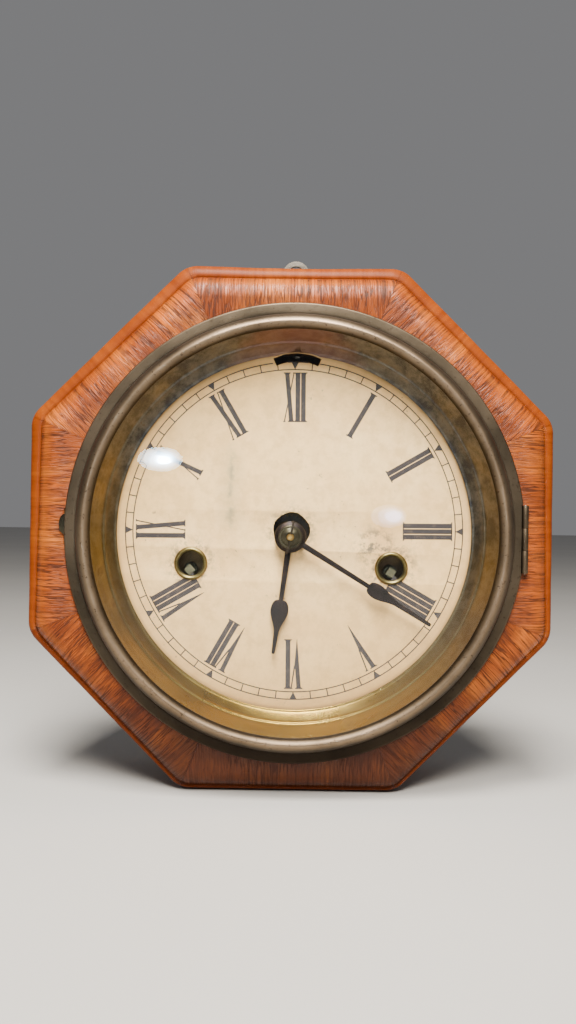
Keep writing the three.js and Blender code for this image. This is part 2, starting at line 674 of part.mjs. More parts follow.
function makeTimeTrain() {
  const centrePhase = 0;
  const secondPhase = meshingAngle(HANDS, timeSecond, centrePhase, SECOND.leaves, SECOND.teeth);
  const greatPhase = meshingAngle(timeSecond, timeMain, secondPhase, GREAT.leaves, GREAT.teeth);
  makeSpringBarrel('time', timeMain, radians(30), greatPhase);

  add('time_second_wheel', join(
    arbor(timeSecond),
    wheel(timeSecond, SECOND.teeth, SECOND.module, secondPhase, SECOND_LAYER),
    pinion(timeSecond, GREAT.leaves, GREAT.module, secondPhase, GREAT_LAYER - 0.2, 2.2),
  ), BRASS);

  // The centre arbor carries the train's centre wheel, the cannon pinion and the minute hand
  const tip = cut(
    rod(HANDS.x, HANDS.z, 1.35, 68, 72.8, 10),
    taperPinBar(0.8, 0.8),
  );
  add('centre_wheel', join(
    rod(HANDS.x, HANDS.z, CENTRE_ARBOR_RADIUS, BACK_PLATE + 0.2, FRONT_PLATE - GAP),
    rod(HANDS.x, HANDS.z, CANNON_RADIUS, FRONT_PLATE - 1, 68.4, 12),
    tip,
    pinion(HANDS, SECOND.leaves, SECOND.module, centrePhase, SECOND_LAYER, 1.6),
    wheel(HANDS, CENTRE.teeth, CENTRE.module, centrePhase, CENTRE_LAYER),
    pinion(HANDS, MINUTE.leaves, MINUTE.module, centrePhase, FRONT_PLATE + 2.2, 2),
  ), BRASS);

  const thirdPhase = meshingAngle(HANDS, timeThird, centrePhase, CENTRE.teeth, CENTRE.leaves);
  add('time_third_wheel', join(
    arbor(timeThird),
    pinion(timeThird, CENTRE.leaves, CENTRE.module, thirdPhase, CENTRE_LAYER - 0.3, 2),
    wheel(timeThird, THIRD.teeth, THIRD.module, thirdPhase, THIRD_LAYER, 1.2),
  ), BRASS);

  const fourthPhase = meshingAngle(timeThird, timeFourth, thirdPhase, THIRD.teeth, THIRD.leaves);
  add('time_fourth_wheel', join(
    arbor(timeFourth),
    pinion(timeFourth, THIRD.leaves, THIRD.module, fourthPhase, THIRD_LAYER - 0.4, 2),
    wheel(timeFourth, FOURTH.teeth, FOURTH.module, fourthPhase, FOURTH_LAYER, 1.1),
  ), BRASS);

  const escapePhase = meshingAngle(timeFourth, escape, fourthPhase, FOURTH.teeth, FOURTH.leaves);
  const scape = ratchetOutline(escape, ESCAPE_TEETH, ESCAPE_RADIUS - 1.8, ESCAPE_RADIUS);
  add('escape_wheel', join(
    arbor(escape),
    pinion(escape, FOURTH.leaves, FOURTH.module, escapePhase, FOURTH_LAYER - 0.4, 1.9),
    slab(scape, ESCAPE_LAYER, 1),
  ), BRASS);
}

// ---------------------------------------------------------------- escapement

const LEVER_LAYER = ESCAPE_LAYER + 2.2;

function makeLever() {
  const { x, z } = LEVER;
  const outline = polygon([
    [x - 1.2, z + 2], [x - 0.9, z + 9.4], [x - 1.9, z + 11.9], [x - 0.7, z + 11.9],
    [x, z + 10.6], [x + 0.7, z + 11.9], [x + 1.9, z + 11.9], [x + 0.9, z + 9.4],
    [x + 1.2, z + 2], [x + 2.2, z], [x + 6.6, z - 3.6], [x + 6.2, z - 6.4],
    [x + 4.6, z - 6.2], [x + 4.8, z - 4], [x, z - 1.9], [x - 4.8, z - 4],
    [x - 4.6, z - 6.2], [x - 6.2, z - 6.4], [x - 6.6, z - 3.6], [x - 2.2, z],
  ].reverse());
  const palletPin = (side) => (
    rod(x + side * 5.4, z - 5.5, 0.5, ESCAPE_LAYER + 1 + 0.35, LEVER_LAYER + 0.5)
  );
  add('lever', join(
    arbor(LEVER), slab(outline, LEVER_LAYER, 1), palletPin(-1), palletPin(1),
  ), STEEL);
}

function makeBalance() {
  const { x, z } = BALANCE;
  const rim = [[10.2, 36.4], [11.8, 36.4], [11.8, 38.4], [10.2, 38.4]];
  const rollerBack = LEVER_LAYER + 1.7;
  const roller = rod(x, z, 3.2, rollerBack, rollerBack + 0.7, 12);
  const impulsePin = rod(x, z - 2.6, 0.4, rollerBack - 0.4, rollerBack + 0.4);
  add('balance_wheel', join(
    arbor(BALANCE),
    turned(rim, x, z, 24),
    block(x - 10.6, x + 10.6, 36.8, 38, z - 1.1, z + 1.1),
    rod(x, z, 2.2, 36.4, 38.4, 12),
    roller,
    impulsePin,
  ), BRASS);

  const hairspringBack = 47.6;
  const coil = spiral(BALANCE, 1.5, 7.8, 4, 0.35, radians(20));
  add('hairspring', slab(coil, hairspringBack, 0.9), BLUED);
}

// The regulator turns on a boss on the front plate; its curb pin reaches back to the hairspring
// and its upturned end lies behind the slot in the dial
function makeRegulator() {
  const { x, z } = BALANCE;
  const back = FRONT_PLATE + PLATE_THICK + 0.4;
  const arm = join(
    rod(x, z, 3.4, back, back + 0.9, 12),
    block(x - 1.1, x + 1.1, back, back + 0.9, z + 2.4, z + 12.2),
    block(x - 1.1, x + 1.1, back, DIAL_BACK - 0.5, z + 11.2, z + 12.2),
    block(x - 0.8, x + 0.8, back, back + 0.9, z - 9.5, z - 2.4),
    rod(x, z - 8.9, 0.4, 47.4, back + 0.4),
  );
  const bore = rod(x, z, 1.8 + GAP, back - 1, back + 3, 12);
  add('regulator', cut(arm, bore), STEEL);
}

// ---------------------------------------------------------------- motion work and hands

function taperPinBar(big, small) {
  const pin = new THREE.CylinderGeometry(big, small, 15, 8);
  pin.rotateX(Math.PI / 2);
  pin.rotateY(radians(11));
  pin.translate(HANDS.x, -71.3, HANDS.z);
  return pin;
}

function makeMotionWork() {
  const layer = FRONT_PLATE + 2.5;
  const minutePhase = meshingAngle(HANDS, minuteStud, 0, MINUTE.leaves, MINUTE.teeth);
  const studBore = rod(minuteStud.x, minuteStud.z, 1, layer - 1, layer + 6);
  const pair = join(
    wheel(minuteStud, MINUTE.teeth, MINUTE.module, minutePhase, layer, 1.2),
    rod(minuteStud.x, minuteStud.z, 1.7, layer + 0.6, layer + 2.4),
    pinion(minuteStud, HOUR.leaves, HOUR.module, minutePhase, layer + 2, 2.2),
  );
  add('minute_wheel', cut(pair, studBore), BRASS);

  const hourPhase = meshingAngle(minuteStud, HANDS, minutePhase, HOUR.leaves, HOUR.teeth);
  const hourLayer = layer + 2.7;
  const pipe = rod(HANDS.x, HANDS.z, HOUR_PIPE_RADIUS, hourLayer, 65.2, 16);
  const pipeBore = rod(HANDS.x, HANDS.z, CANNON_RADIUS + GAP, hourLayer - 1, 66, 16);
  const hourWheel = wheel(HANDS, HOUR.teeth, HOUR.module, hourPhase, hourLayer, 1.2);
  add('hour_wheel', cut(join(hourWheel, pipe), pipeBore), BRASS);
}

// A hand pointing at twelve from the origin: a slim shaft, a drop-shaped swelling and a fine tip
function handOutline({ length, shaft, swellFrom, swellAt, swellTo, swell, neck, tip, boss }) {
  const shape = new THREE.Shape();
  shape.moveTo(shaft, boss * 0.9);
  shape.lineTo(shaft * 0.8, swellFrom);
  shape.quadraticCurveTo(swell, swellFrom + swell * 0.3, swell, swellAt);
  shape.quadraticCurveTo(swell, swellAt + swell, neck, swellTo);
  shape.lineTo(tip, length - 0.4);
  shape.lineTo(0, length);
  shape.lineTo(-tip, length - 0.4);
  shape.lineTo(-neck, swellTo);
  shape.quadraticCurveTo(-swell, swellAt + swell, -swell, swellAt);
  shape.quadraticCurveTo(-swell, swellFrom + swell * 0.3, -shaft * 0.8, swellFrom);
  shape.lineTo(-shaft, boss * 0.9);
  shape.closePath();
  return shape;
}

function hand(spec, back, thick, clockAngle, bossProfile, bore) {
  const blade = slab(handOutline(spec), back, thick, 4);
  const boss = turned(bossProfile, 0, 0, 20);
  const whole = cut(join(blade, boss), rod(0, 0, bore, back - 4, back + 6, 16));
  whole.rotateY(radians(clockAngle));
  whole.translate(HANDS.x, 0, HANDS.z);
  return whole;
}

function makeHands() {
  const hour = {
    length: 52.7, shaft: 1.35, swellFrom: 28.5, swellAt: 33.4, swellTo: 43.6, swell: 4,
    neck: 1.1, tip: 0.75, boss: 6.6,
  };
  const hourBoss = [[3, 64.2], [6.8, 64.2], [6.8, 65], [5.4, 65.6], [3, 65.6]];
  add('hour_hand', hand(hour, 64.2, 0.8, HOUR_ANGLE, hourBoss, HOUR_PIPE_RADIUS + GAP), BLUED);

  const minute = {
    length: 73.6, shaft: 1.3, swellFrom: 41, swellAt: 45.4, swellTo: 56.3, swell: 3.4,
    neck: 1.15, tip: 0.8, boss: 7,
  };
  const minuteBoss = [[1.2, 66.2], [7, 66.2], [7, 67.2], [5.2, 68.2], [1.2, 68.2]];
  const minuteHand = hand(minute, 66.6, 0.8, MINUTE_ANGLE, minuteBoss, CANNON_RADIUS + GAP);
  add('minute_hand', minuteHand, BLUED);

  const washer = [[1.65, 68.8], [5.2, 68.8], [5.3, 69.2], [3.8, 70.2], [1.65, 70.4]];
  add('hand_washer', turned(washer, HANDS.x, HANDS.z, 20), BRASS);
  add('taper_pin', taperPinBar(0.5, 0.38), STEEL);
}

// ---------------------------------------------------------------- strike train

function makeStrikeTrain() {
  const secondPhase = 0;
  const greatPhase = meshingAngle(
    strikeSecond, strikeMain, secondPhase, GREAT.leaves, GREAT.teeth,
  );
  makeSpringBarrel('strike', strikeMain, radians(45), greatPhase);

  add('strike_second_wheel', join(
    arbor(strikeSecond),
    pinion(strikeSecond, GREAT.leaves, GREAT.module, secondPhase, GREAT_LAYER - 0.2, 2.2),
    wheel(strikeSecond, STRIKE_SECOND.teeth, STRIKE_SECOND.module, secondPhase, SECOND_LAYER),
  ), BRASS);

  const thirdPhase = meshingAngle(
    strikeSecond, strikeThird, secondPhase, STRIKE_SECOND.teeth, STRIKE_SECOND.leaves,
  );
  add('strike_third_wheel', join(
    arbor(strikeThird),
    pinion(strikeThird, STRIKE_SECOND.leaves, STRIKE_SECOND.module, thirdPhase, SECOND_LAYER, 1.8),
    wheel(strikeThird, STRIKE_THIRD.teeth, STRIKE_THIRD.module, thirdPhase, THIRD_LAYER, 1.2),
  ), BRASS);

  const fourthPhase = meshingAngle(
    strikeThird, strikeFourth, thirdPhase, STRIKE_THIRD.teeth, STRIKE_THIRD.leaves,
  );
  add('strike_fourth_wheel', join(
    arbor(strikeFourth),
    pinion(strikeFourth, STRIKE_THIRD.leaves, STRIKE_THIRD.module, fourthPhase, THIRD_LAYER - 0.4, 2),
    wheel(strikeFourth, STRIKE_FOURTH.teeth, STRIKE_FOURTH.module, fourthPhase, FOURTH_LAYER, 1.1),
  ), BRASS);

  const flyPhase = meshingAngle(
    strikeFourth, fly, fourthPhase, STRIKE_FOURTH.teeth, STRIKE_FOURTH.leaves,
  );
  const vane = block(fly.x - 8.6, fly.x + 8.6, 41.4, 48, fly.z - 0.4, fly.z + 0.4);
  add('fly', join(
    arbor(fly),
    pinion(fly, STRIKE_FOURTH.leaves, STRIKE_FOURTH.module, flyPhase, FOURTH_LAYER - 0.4, 1.9),
    vane,
  ), BRASS);
}

// The hammer hangs on an arbor that runs through the back plate and strikes the bell's side
function makeHammer() {
  const { x, z } = HAMMER;
  const headX = BELL.x - 27;
  const rodDepth = 20;
  const reach = Math.hypot(headX - x, BELL.z - z);
  const wire = new THREE.CylinderGeometry(0.8, 0.8, reach, 8);
  wire.rotateX(Math.PI / 2);
  wire.rotateY(Math.atan2(x - headX, z - BELL.z));
  wire.translate((x + headX) / 2, -rodDepth, (z + BELL.z) / 2);
  const head = new THREE.CylinderGeometry(3.6, 3.6, 8.4, 14);
  head.rotateZ(Math.PI / 2);
  head.translate(headX, -rodDepth, BELL.z);
  add('hammer', join(
    rod(x, z, ARBOR_RADIUS, rodDepth - 1.5, FRONT_PLATE - GAP),
    rod(x, z, PIVOT_RADIUS, FRONT_PLATE - 1, FRONT_PLATE + PLATE_THICK - 0.2),
    rod(x, z, 2, rodDepth - 1.5, rodDepth + 1.5),
    wire, head,
  ), STEEL);
}

function makeBell() {
  const crown = 25;
  const profile = [
    [1.8, crown], [9, crown], [17.4, crown - 4.4], [22, crown - 13],
    [20.6, crown - 13], [16.4, crown - 5.4], [8.6, crown - 1.4], [1.8, crown - 1.4],
  ];
  add('bell', turned(profile, BELL.x, BELL.z, 24), BELL_METAL);
  add('bell_post', join(
    rod(BELL.x, BELL.z, 1.4, 7, crown + 2),
    rod(BELL.x, BELL.z, 4, BACK_BOARD_THICK + GAP, 8.6, 12),
    rod(BELL.x, BELL.z, 3, 9, crown - 1.8, 10),
    rod(BELL.x, BELL.z, 3.2, crown + 0.4, crown + 2.4, 6),
  ), STEEL);
}

makeBox();
makeHanger();
makeFrame();
makeDial();
makePan();
makeBezel();
makeHinge();
makeCatch();
makePlates();
makeTimeTrain();
makeLever();
makeBalance();
makeRegulator();
makeMotionWork();
makeHands();
makeStrikeTrain();
makeHammer();
makeBell();

export default clock;
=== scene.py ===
import itertools
import json
import math
import random

import bmesh
import bpy
from mathutils import Matrix, Vector


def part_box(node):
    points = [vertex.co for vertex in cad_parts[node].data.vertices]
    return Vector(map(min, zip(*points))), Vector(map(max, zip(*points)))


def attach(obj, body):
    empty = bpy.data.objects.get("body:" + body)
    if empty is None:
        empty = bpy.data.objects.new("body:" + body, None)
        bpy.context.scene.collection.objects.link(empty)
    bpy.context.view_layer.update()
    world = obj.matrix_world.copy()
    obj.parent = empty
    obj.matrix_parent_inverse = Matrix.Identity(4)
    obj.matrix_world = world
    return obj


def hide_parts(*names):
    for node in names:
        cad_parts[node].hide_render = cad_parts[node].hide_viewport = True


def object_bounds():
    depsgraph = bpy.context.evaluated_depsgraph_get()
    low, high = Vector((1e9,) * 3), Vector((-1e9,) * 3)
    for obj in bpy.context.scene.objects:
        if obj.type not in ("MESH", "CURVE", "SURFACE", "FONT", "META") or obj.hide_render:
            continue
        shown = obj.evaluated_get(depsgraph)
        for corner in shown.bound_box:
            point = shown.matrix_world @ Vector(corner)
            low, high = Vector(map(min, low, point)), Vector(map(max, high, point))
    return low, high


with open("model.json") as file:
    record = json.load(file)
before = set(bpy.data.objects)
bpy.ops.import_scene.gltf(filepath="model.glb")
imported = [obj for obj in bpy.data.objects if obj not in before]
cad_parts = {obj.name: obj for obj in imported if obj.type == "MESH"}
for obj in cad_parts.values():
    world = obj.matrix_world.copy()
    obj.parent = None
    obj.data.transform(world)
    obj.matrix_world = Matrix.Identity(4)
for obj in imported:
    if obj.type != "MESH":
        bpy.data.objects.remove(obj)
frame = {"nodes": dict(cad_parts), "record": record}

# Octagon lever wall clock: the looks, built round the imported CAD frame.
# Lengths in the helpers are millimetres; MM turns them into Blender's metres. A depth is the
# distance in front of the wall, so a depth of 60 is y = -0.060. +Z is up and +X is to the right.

MM = 0.001
CAD_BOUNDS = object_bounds()
DRAW = random.Random(7)
SIDES = 8
HALF_SIDE = math.pi / SIDES
MITRE = math.tan(HALF_SIDE)


def span(node):
    """A CAD node's box in millimetres, as (x0, x1, back depth, front depth, z0, z1)."""
    low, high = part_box(node)
    return (low.x / MM, high.x / MM, -high.y / MM, -low.y / MM, low.z / MM, high.z / MM)


def middle(node):
    x0, x1, _, _, z0, z1 = span(node)
    return ((x0 + x1) / 2, (z0 + z1) / 2)


def round_span(node):
    """A round node's outer radius, back depth and front depth."""
    x0, x1, back, front = span(node)[:4]
    return ((x1 - x0) / 2, back, front)


# ------------------------------------------------------------------ sizes read from the frame

APOTHEM = span("frame_rail_top")[5]
FRAME_BACK, LAND = span("frame_rail_top")[2:4]
INNER_APOTHEM = span("frame_rail_top")[4]
BOX_APOTHEM = span("case_box")[5]
BEZEL = middle("glass")
BEZEL_RADIUS = BEZEL[1] - span("bezel_ring")[4]
DIAL = middle("dial_plate")
DIAL_BACK, DIAL_FRONT = span("dial_plate")[2:4]
BALANCE = middle("balance_wheel")
HANDS = middle("hand_washer")
HINGE_X = middle("hinge_pin")[0]
HINGE_DEPTH = sum(span("hinge_pin")[2:4]) / 2


# ------------------------------------------------------------------ sizes read from the photo

# The case: its corners' rounding, the groove and the face's inner edge as distances from the
# middle, how far the top edge sags, and the gap at the mitres
CORNER_ROUND = 12.0
QUIRK = 113.6
FACE_INNER = 101.5
TOP_SAG = 0.9
MITRE_GAP = 0.05
# The dial: radii, widths and turns of its printing, its holes, and the slot by twelve
TRACK_OUTER, TRACK_INNER = 75.75, 72.4
TRACK_LINE = 0.48
HOUR_MARK = 3.3
NUMERAL_TOP, NUMERAL_HEIGHT = 71.1, 22.3
PRINT_TURN, PRINT_LIFT = -0.47, 0.8
PAPER_RADIUS = 79.4
CENTRE_HOLE, CENTRE_HOLE_RADIUS = (0.25, -1.4), 8.3
WINDING_HOLE_RADIUS, EYELET_BORE = 6.6, 5.5
SLOT_CENTRE = (BALANCE[0], BALANCE[1] - 11.5)
SLOT_INNER, SLOT_OUTER, SLOT_HALF = 21.2, 24.9, 26
# The hands, in degrees clockwise, the lean of their pin, the hanger's hole, the back's screws
HOUR_ANGLE, MINUTE_ANGLE = 187.6, 121.4
PIN_LEAN = 11
HANGER_HOLE_RADIUS = 3.8
SCREW_CIRCLE = 104


# ------------------------------------------------------------------ mesh helpers

def new_object(name, data):
    obj = bpy.data.objects.new(name, data)
    bpy.context.scene.collection.objects.link(obj)
    return obj


def mesh_object(name, verts, faces, sharp=35):
    mesh = bpy.data.meshes.new(name)
    mesh.from_pydata([(x * MM, y * MM, z * MM) for x, y, z in verts], [], faces)
    mesh.validate()
    shade(mesh, sharp)
    return new_object(name, mesh)


def shade(mesh, sharp):
    """Smooth shading, with the edges over an angle kept sharp and the normals pointing out."""
    bm = bmesh.new()
    bm.from_mesh(mesh)
    bmesh.ops.recalc_face_normals(bm, faces=bm.faces)
    limit = math.radians(sharp)
    for face in bm.faces:
        face.smooth = True
    for edge in bm.edges:
        edge.smooth = len(edge.link_faces) == 2 and edge.calc_face_angle(0) < limit
    bm.to_mesh(mesh)
    bm.free()


def filleted(points, radius, steps=4, closed=True):
    """A polyline with its corners rounded off, each by no more than the room it has."""
    out = []
    count = len(points)
    for i, point in enumerate(points):
        if not closed and i in (0, count - 1):
            out.append(Vector(point))
            continue
        here = Vector(point)
        to_last = Vector(points[i - 1]) - here
        to_next = Vector(points[(i + 1) % count]) - here
        reach = min(radius, to_last.length * 0.45, to_next.length * 0.45)
        start = here + to_last.normalized() * reach
        end = here + to_next.normalized() * reach
        for step in range(steps + 1):
            t = step / steps
            out.append(start.lerp(here, t).lerp(here.lerp(end, t), t))
    return [(p.x, p.y) for p in out]


def revolve(name, profile, at, segments=192, sharp=35):
    """A ring or disc turned about an axis square to the face. A profile that touches the axis
    shares one point there."""
    verts, rows = [], []
    for radius, depth in profile:
        if radius < 1e-6:
            rows.append([len(verts)] * segments)
            verts.append((at[0], -depth, at[1]))
            continue
        rows.append(list(range(len(verts), len(verts) + segments)))
        for k in range(segments):
            angle = 2 * math.pi * k / segments
            x = at[0] + radius * math.sin(angle)
            verts.append((x, -depth, at[1] + radius * math.cos(angle)))
    faces = []
    for i, row in enumerate(rows):
        after = rows[(i + 1) % len(rows)]
        for k in range(segments):
            n = (k + 1) % segments
            corners = list(dict.fromkeys((row[k], row[n], after[n], after[k])))
            if len(corners) > 2:
                faces.append(corners)
    return mesh_object(name, verts, faces, sharp)


def evaluated(obj):
    """An object's mesh with its modifiers applied."""
    graph = bpy.context.evaluated_depsgraph_get()
    return bpy.data.meshes.new_from_object(obj.evaluated_get(graph))


def subtract(obj, cutter):
    """Cuts one object out of another, and removes the cutter."""
    cut = obj.modifiers.new("cut", "BOOLEAN")
    cut.operation = "DIFFERENCE"
    cut.solver = "EXACT"
    cut.object = cutter
    mesh = evaluated(obj)
    obj.modifiers.clear()
    obj.data = mesh
    bpy.data.objects.remove(cutter)


def cut_box(obj, low, high):
    """Cuts a box out of a mesh; the corners are (x, depth, z) in millimetres."""
    centre = [(a + b) / 2 * MM for a, b in zip(low, high)]
    size = [abs(b - a) * MM for a, b in zip(low, high)]
    box = Matrix.Translation((centre[0], -centre[1], centre[2])) @ Matrix.Diagonal((*size, 1))
    bm = bmesh.new()
    bmesh.ops.create_cube(bm, size=1, matrix=box)
    mesh = bpy.data.meshes.new("cutter")
    bm.to_mesh(mesh)
    bm.free()
    subtract(obj, new_object("cutter", mesh))


def plate(name, outlines, back, thick, bevel=0.15, resolution=2):
    """A flat piece cut to an outline with holes, its edges eased by a small round."""
    curve = bpy.data.curves.new(name, "CURVE")
    curve.dimensions = "2D"
    curve.fill_mode = "BOTH"
    curve.extrude = (thick / 2 - bevel) * MM
    curve.bevel_depth = bevel * MM
    curve.bevel_resolution = resolution
    curve.offset = -bevel * MM
    for outline in outlines:
        spline = curve.splines.new("POLY")
        spline.points.add(len(outline) - 1)
        for point, (x, z) in zip(spline.points, outline):
            point.co = (x * MM, z * MM, 0, 1)
        spline.use_cyclic_u = True
    holder = new_object(name, curve)
    mesh = evaluated(holder)
    bpy.data.objects.remove(holder)
    mesh.name = name
    turn = Matrix.Rotation(math.pi / 2, 4, "X")
    mesh.transform(Matrix.Translation((0, -(back + thick / 2) * MM, 0)) @ turn)
    bm = bmesh.new()
    bm.from_mesh(mesh)
    bmesh.ops.remove_doubles(bm, verts=bm.verts, dist=1e-7)
    bm.to_mesh(mesh)
    bm.free()
    shade(mesh, 35)
    return new_object(name, mesh)


def arc(at, radius, start, end, steps=24):
    """Points on a circle, by angles in degrees counter-clockwise from +X."""
    angles = [math.radians(start + (end - start) * i / steps) for i in range(steps + 1)]
    return [(at[0] + radius * math.cos(a), at[1] + radius * math.sin(a)) for a in angles]


def ring_points(at, radius, steps=48):
    return arc(at, radius, 0, 360, steps)[:-1]


def joined(name, objects):
    """Several objects made into one mesh."""
    bm = bmesh.new()
    for obj in objects:
        mesh = obj.data.copy()
        mesh.transform(obj.matrix_world)
        bm.from_mesh(mesh)
        bpy.data.meshes.remove(mesh)
        bpy.data.objects.remove(obj)
    mesh = bpy.data.meshes.new(name)
    bm.to_mesh(mesh)
    bm.free()
    return new_object(name, mesh)


def turned_bar(name, profile, direction, at, sides):
    """A round bar along any direction, by its radius at places along it."""
    profile = [(0, profile[0][1]), *profile, (0, profile[-1][1])]
    bar = revolve(name, profile, (0, 0), sides)
    turn = Vector((0, -1, 0)).rotation_difference(Vector(direction)).to_matrix().to_4x4()
    bar.data.transform(Matrix.Translation(Vector(at) * MM) @ turn)
    return bar


def set_vector_attribute(obj, name, values):
    layer = obj.data.attributes.new(name, "FLOAT_VECTOR", "POINT")
    for item, value in zip(layer.data, values):
        item.vector = value


def dress(obj, material):
    obj.data.materials.clear()
    obj.data.materials.append(material)


def finish_piece(obj, body, material, slot, *nodes):
    """Gives a piece its material, sets it on its body and hides the CAD nodes that it stands for."""
    dress(obj, material)
    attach(obj, body)
    if nodes:
        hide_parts(*nodes)


# ------------------------------------------------------------------ material helpers

def srgb(r, g, b):
    """A colour written as 0 to 255 screen values, in the linear numbers that shaders use."""
    def linear(v):
        v /= 255
        return v / 12.92 if v <= 0.04045 else ((v + 0.055) / 1.055) ** 2.4
    return (linear(r), linear(g), linear(b))


class Shader:
    """A material under construction: its tree, the colour so far, and short ways to add nodes.
    Colours are given as 0 to 255 screen values."""

    def __init__(self, name, **sockets):
        self.material = bpy.data.materials.new(name)
        self.material.use_nodes = True
        self.tree = self.material.node_tree
        self.base = self.tree.nodes["Principled BSDF"]
        self.colour = None
        for socket, value in sockets.items():
            self.base.inputs[socket.replace("_", " ")].default_value = value

    def add(self, kind, inputs, **settings):
        node = self.tree.nodes.new("ShaderNode" + kind)
        for key, value in settings.items():
            setattr(node, key, value)
        for key, value in inputs.items():
            if isinstance(value, bpy.types.NodeSocket):
                self.tree.links.new(value, node.inputs[key])
            else:
                node.inputs[key].default_value = value
        return node

    def place(self):
        return self.add("TexCoord", {}).outputs["Object"]

    def attribute(self, name):
        return self.add("Attribute", {}, attribute_name=name).outputs["Vector"]

    def parts(self, vector):
        return self.add("SeparateXYZ", {"Vector": vector}).outputs

    def noise(self, vector, scale, detail=4, roughness=0.55, distortion=0.0):
        inputs = {"Vector": vector, "Scale": scale, "Detail": detail, "Roughness": roughness}
        return self.add("TexNoise", {**inputs, "Distortion": distortion}).outputs["Fac"]

    def stretched(self, vector, scale, *noise, start=(0, 0, 0)):
        """Noise whose scale differs from one axis to the next."""
        inputs = {"Vector": vector, "Scale": scale, "Location": start}
        return self.noise(self.add("Mapping", inputs).outputs["Vector"], 1.0, *noise)

    def ramp(self, fac, *stops):
        node = self.add("ValToRGB", {"Fac": fac})
        elements = node.color_ramp.elements
        while len(elements) < len(stops):
            elements.new(0.5)
        for element, (position, value) in zip(elements, stops):
            element.position = position
            element.color = (*(srgb(*value) if isinstance(value, tuple) else (value,) * 3), 1)
        return node.outputs["Color"]

    def fade(self, fac, start, end, low=0.0, high=1.0):
        """A value that goes from low to high while the field goes from start to end."""
        return self.ramp(fac, (start, low), (end, high))

    def mix(self, fac, a, b):
        inputs = {0: fac}
        for key, value in ((6, a), (7, b)):
            inputs[key] = (*srgb(*value), 1) if isinstance(value, tuple) else value
        return self.add("Mix", inputs, data_type="RGBA").outputs[2]

    def paint(self, fac, over):
        """Lays a colour over the one so far."""
        self.colour = self.mix(fac, self.colour, over)

    def math(self, operation, a, b=0.0):
        return self.add("Math", {0: a, 1: b}, operation=operation).outputs[0]

    def times(self, a, b):
        return self.math("MULTIPLY", a, b)

    def plus(self, a, b):
        return self.math("ADD", a, b)

    def minus(self, a, b):
        return self.math("SUBTRACT", a, b)

    def larger(self, a, b):
        return self.math("MAXIMUM", a, b)

    def bump(self, height, strength, distance, **after):
        inputs = {"Height": height, "Strength": strength, "Distance": distance, **after}
        return self.add("Bump", inputs).outputs["Normal"]

    def spot(self, at, inner, outer):
        """A patch on the face, whole within one radius and gone at the other, in millimetres."""
        flat = self.add("VectorMath", {0: self.place(), 1: (1, 0, 1)}, operation="MULTIPLY")
        centre = (at[0] * MM, 0, at[1] * MM)
        away = self.add("VectorMath", {0: flat.outputs[0], 1: centre}, operation="DISTANCE")
        return self.fade(away.outputs["Value"], inner * MM, outer * MM, 1.0, 0.0)

    def done(self, **joined_up):
        """Joins the colour and any other outputs to their sockets, and gives the material."""
        for socket, out in {"Base_Color": self.colour, **joined_up}.items():
            self.tree.links.new(out, self.base.inputs[socket.replace("_", " ")])
        return self.material


# ------------------------------------------------------------------ materials

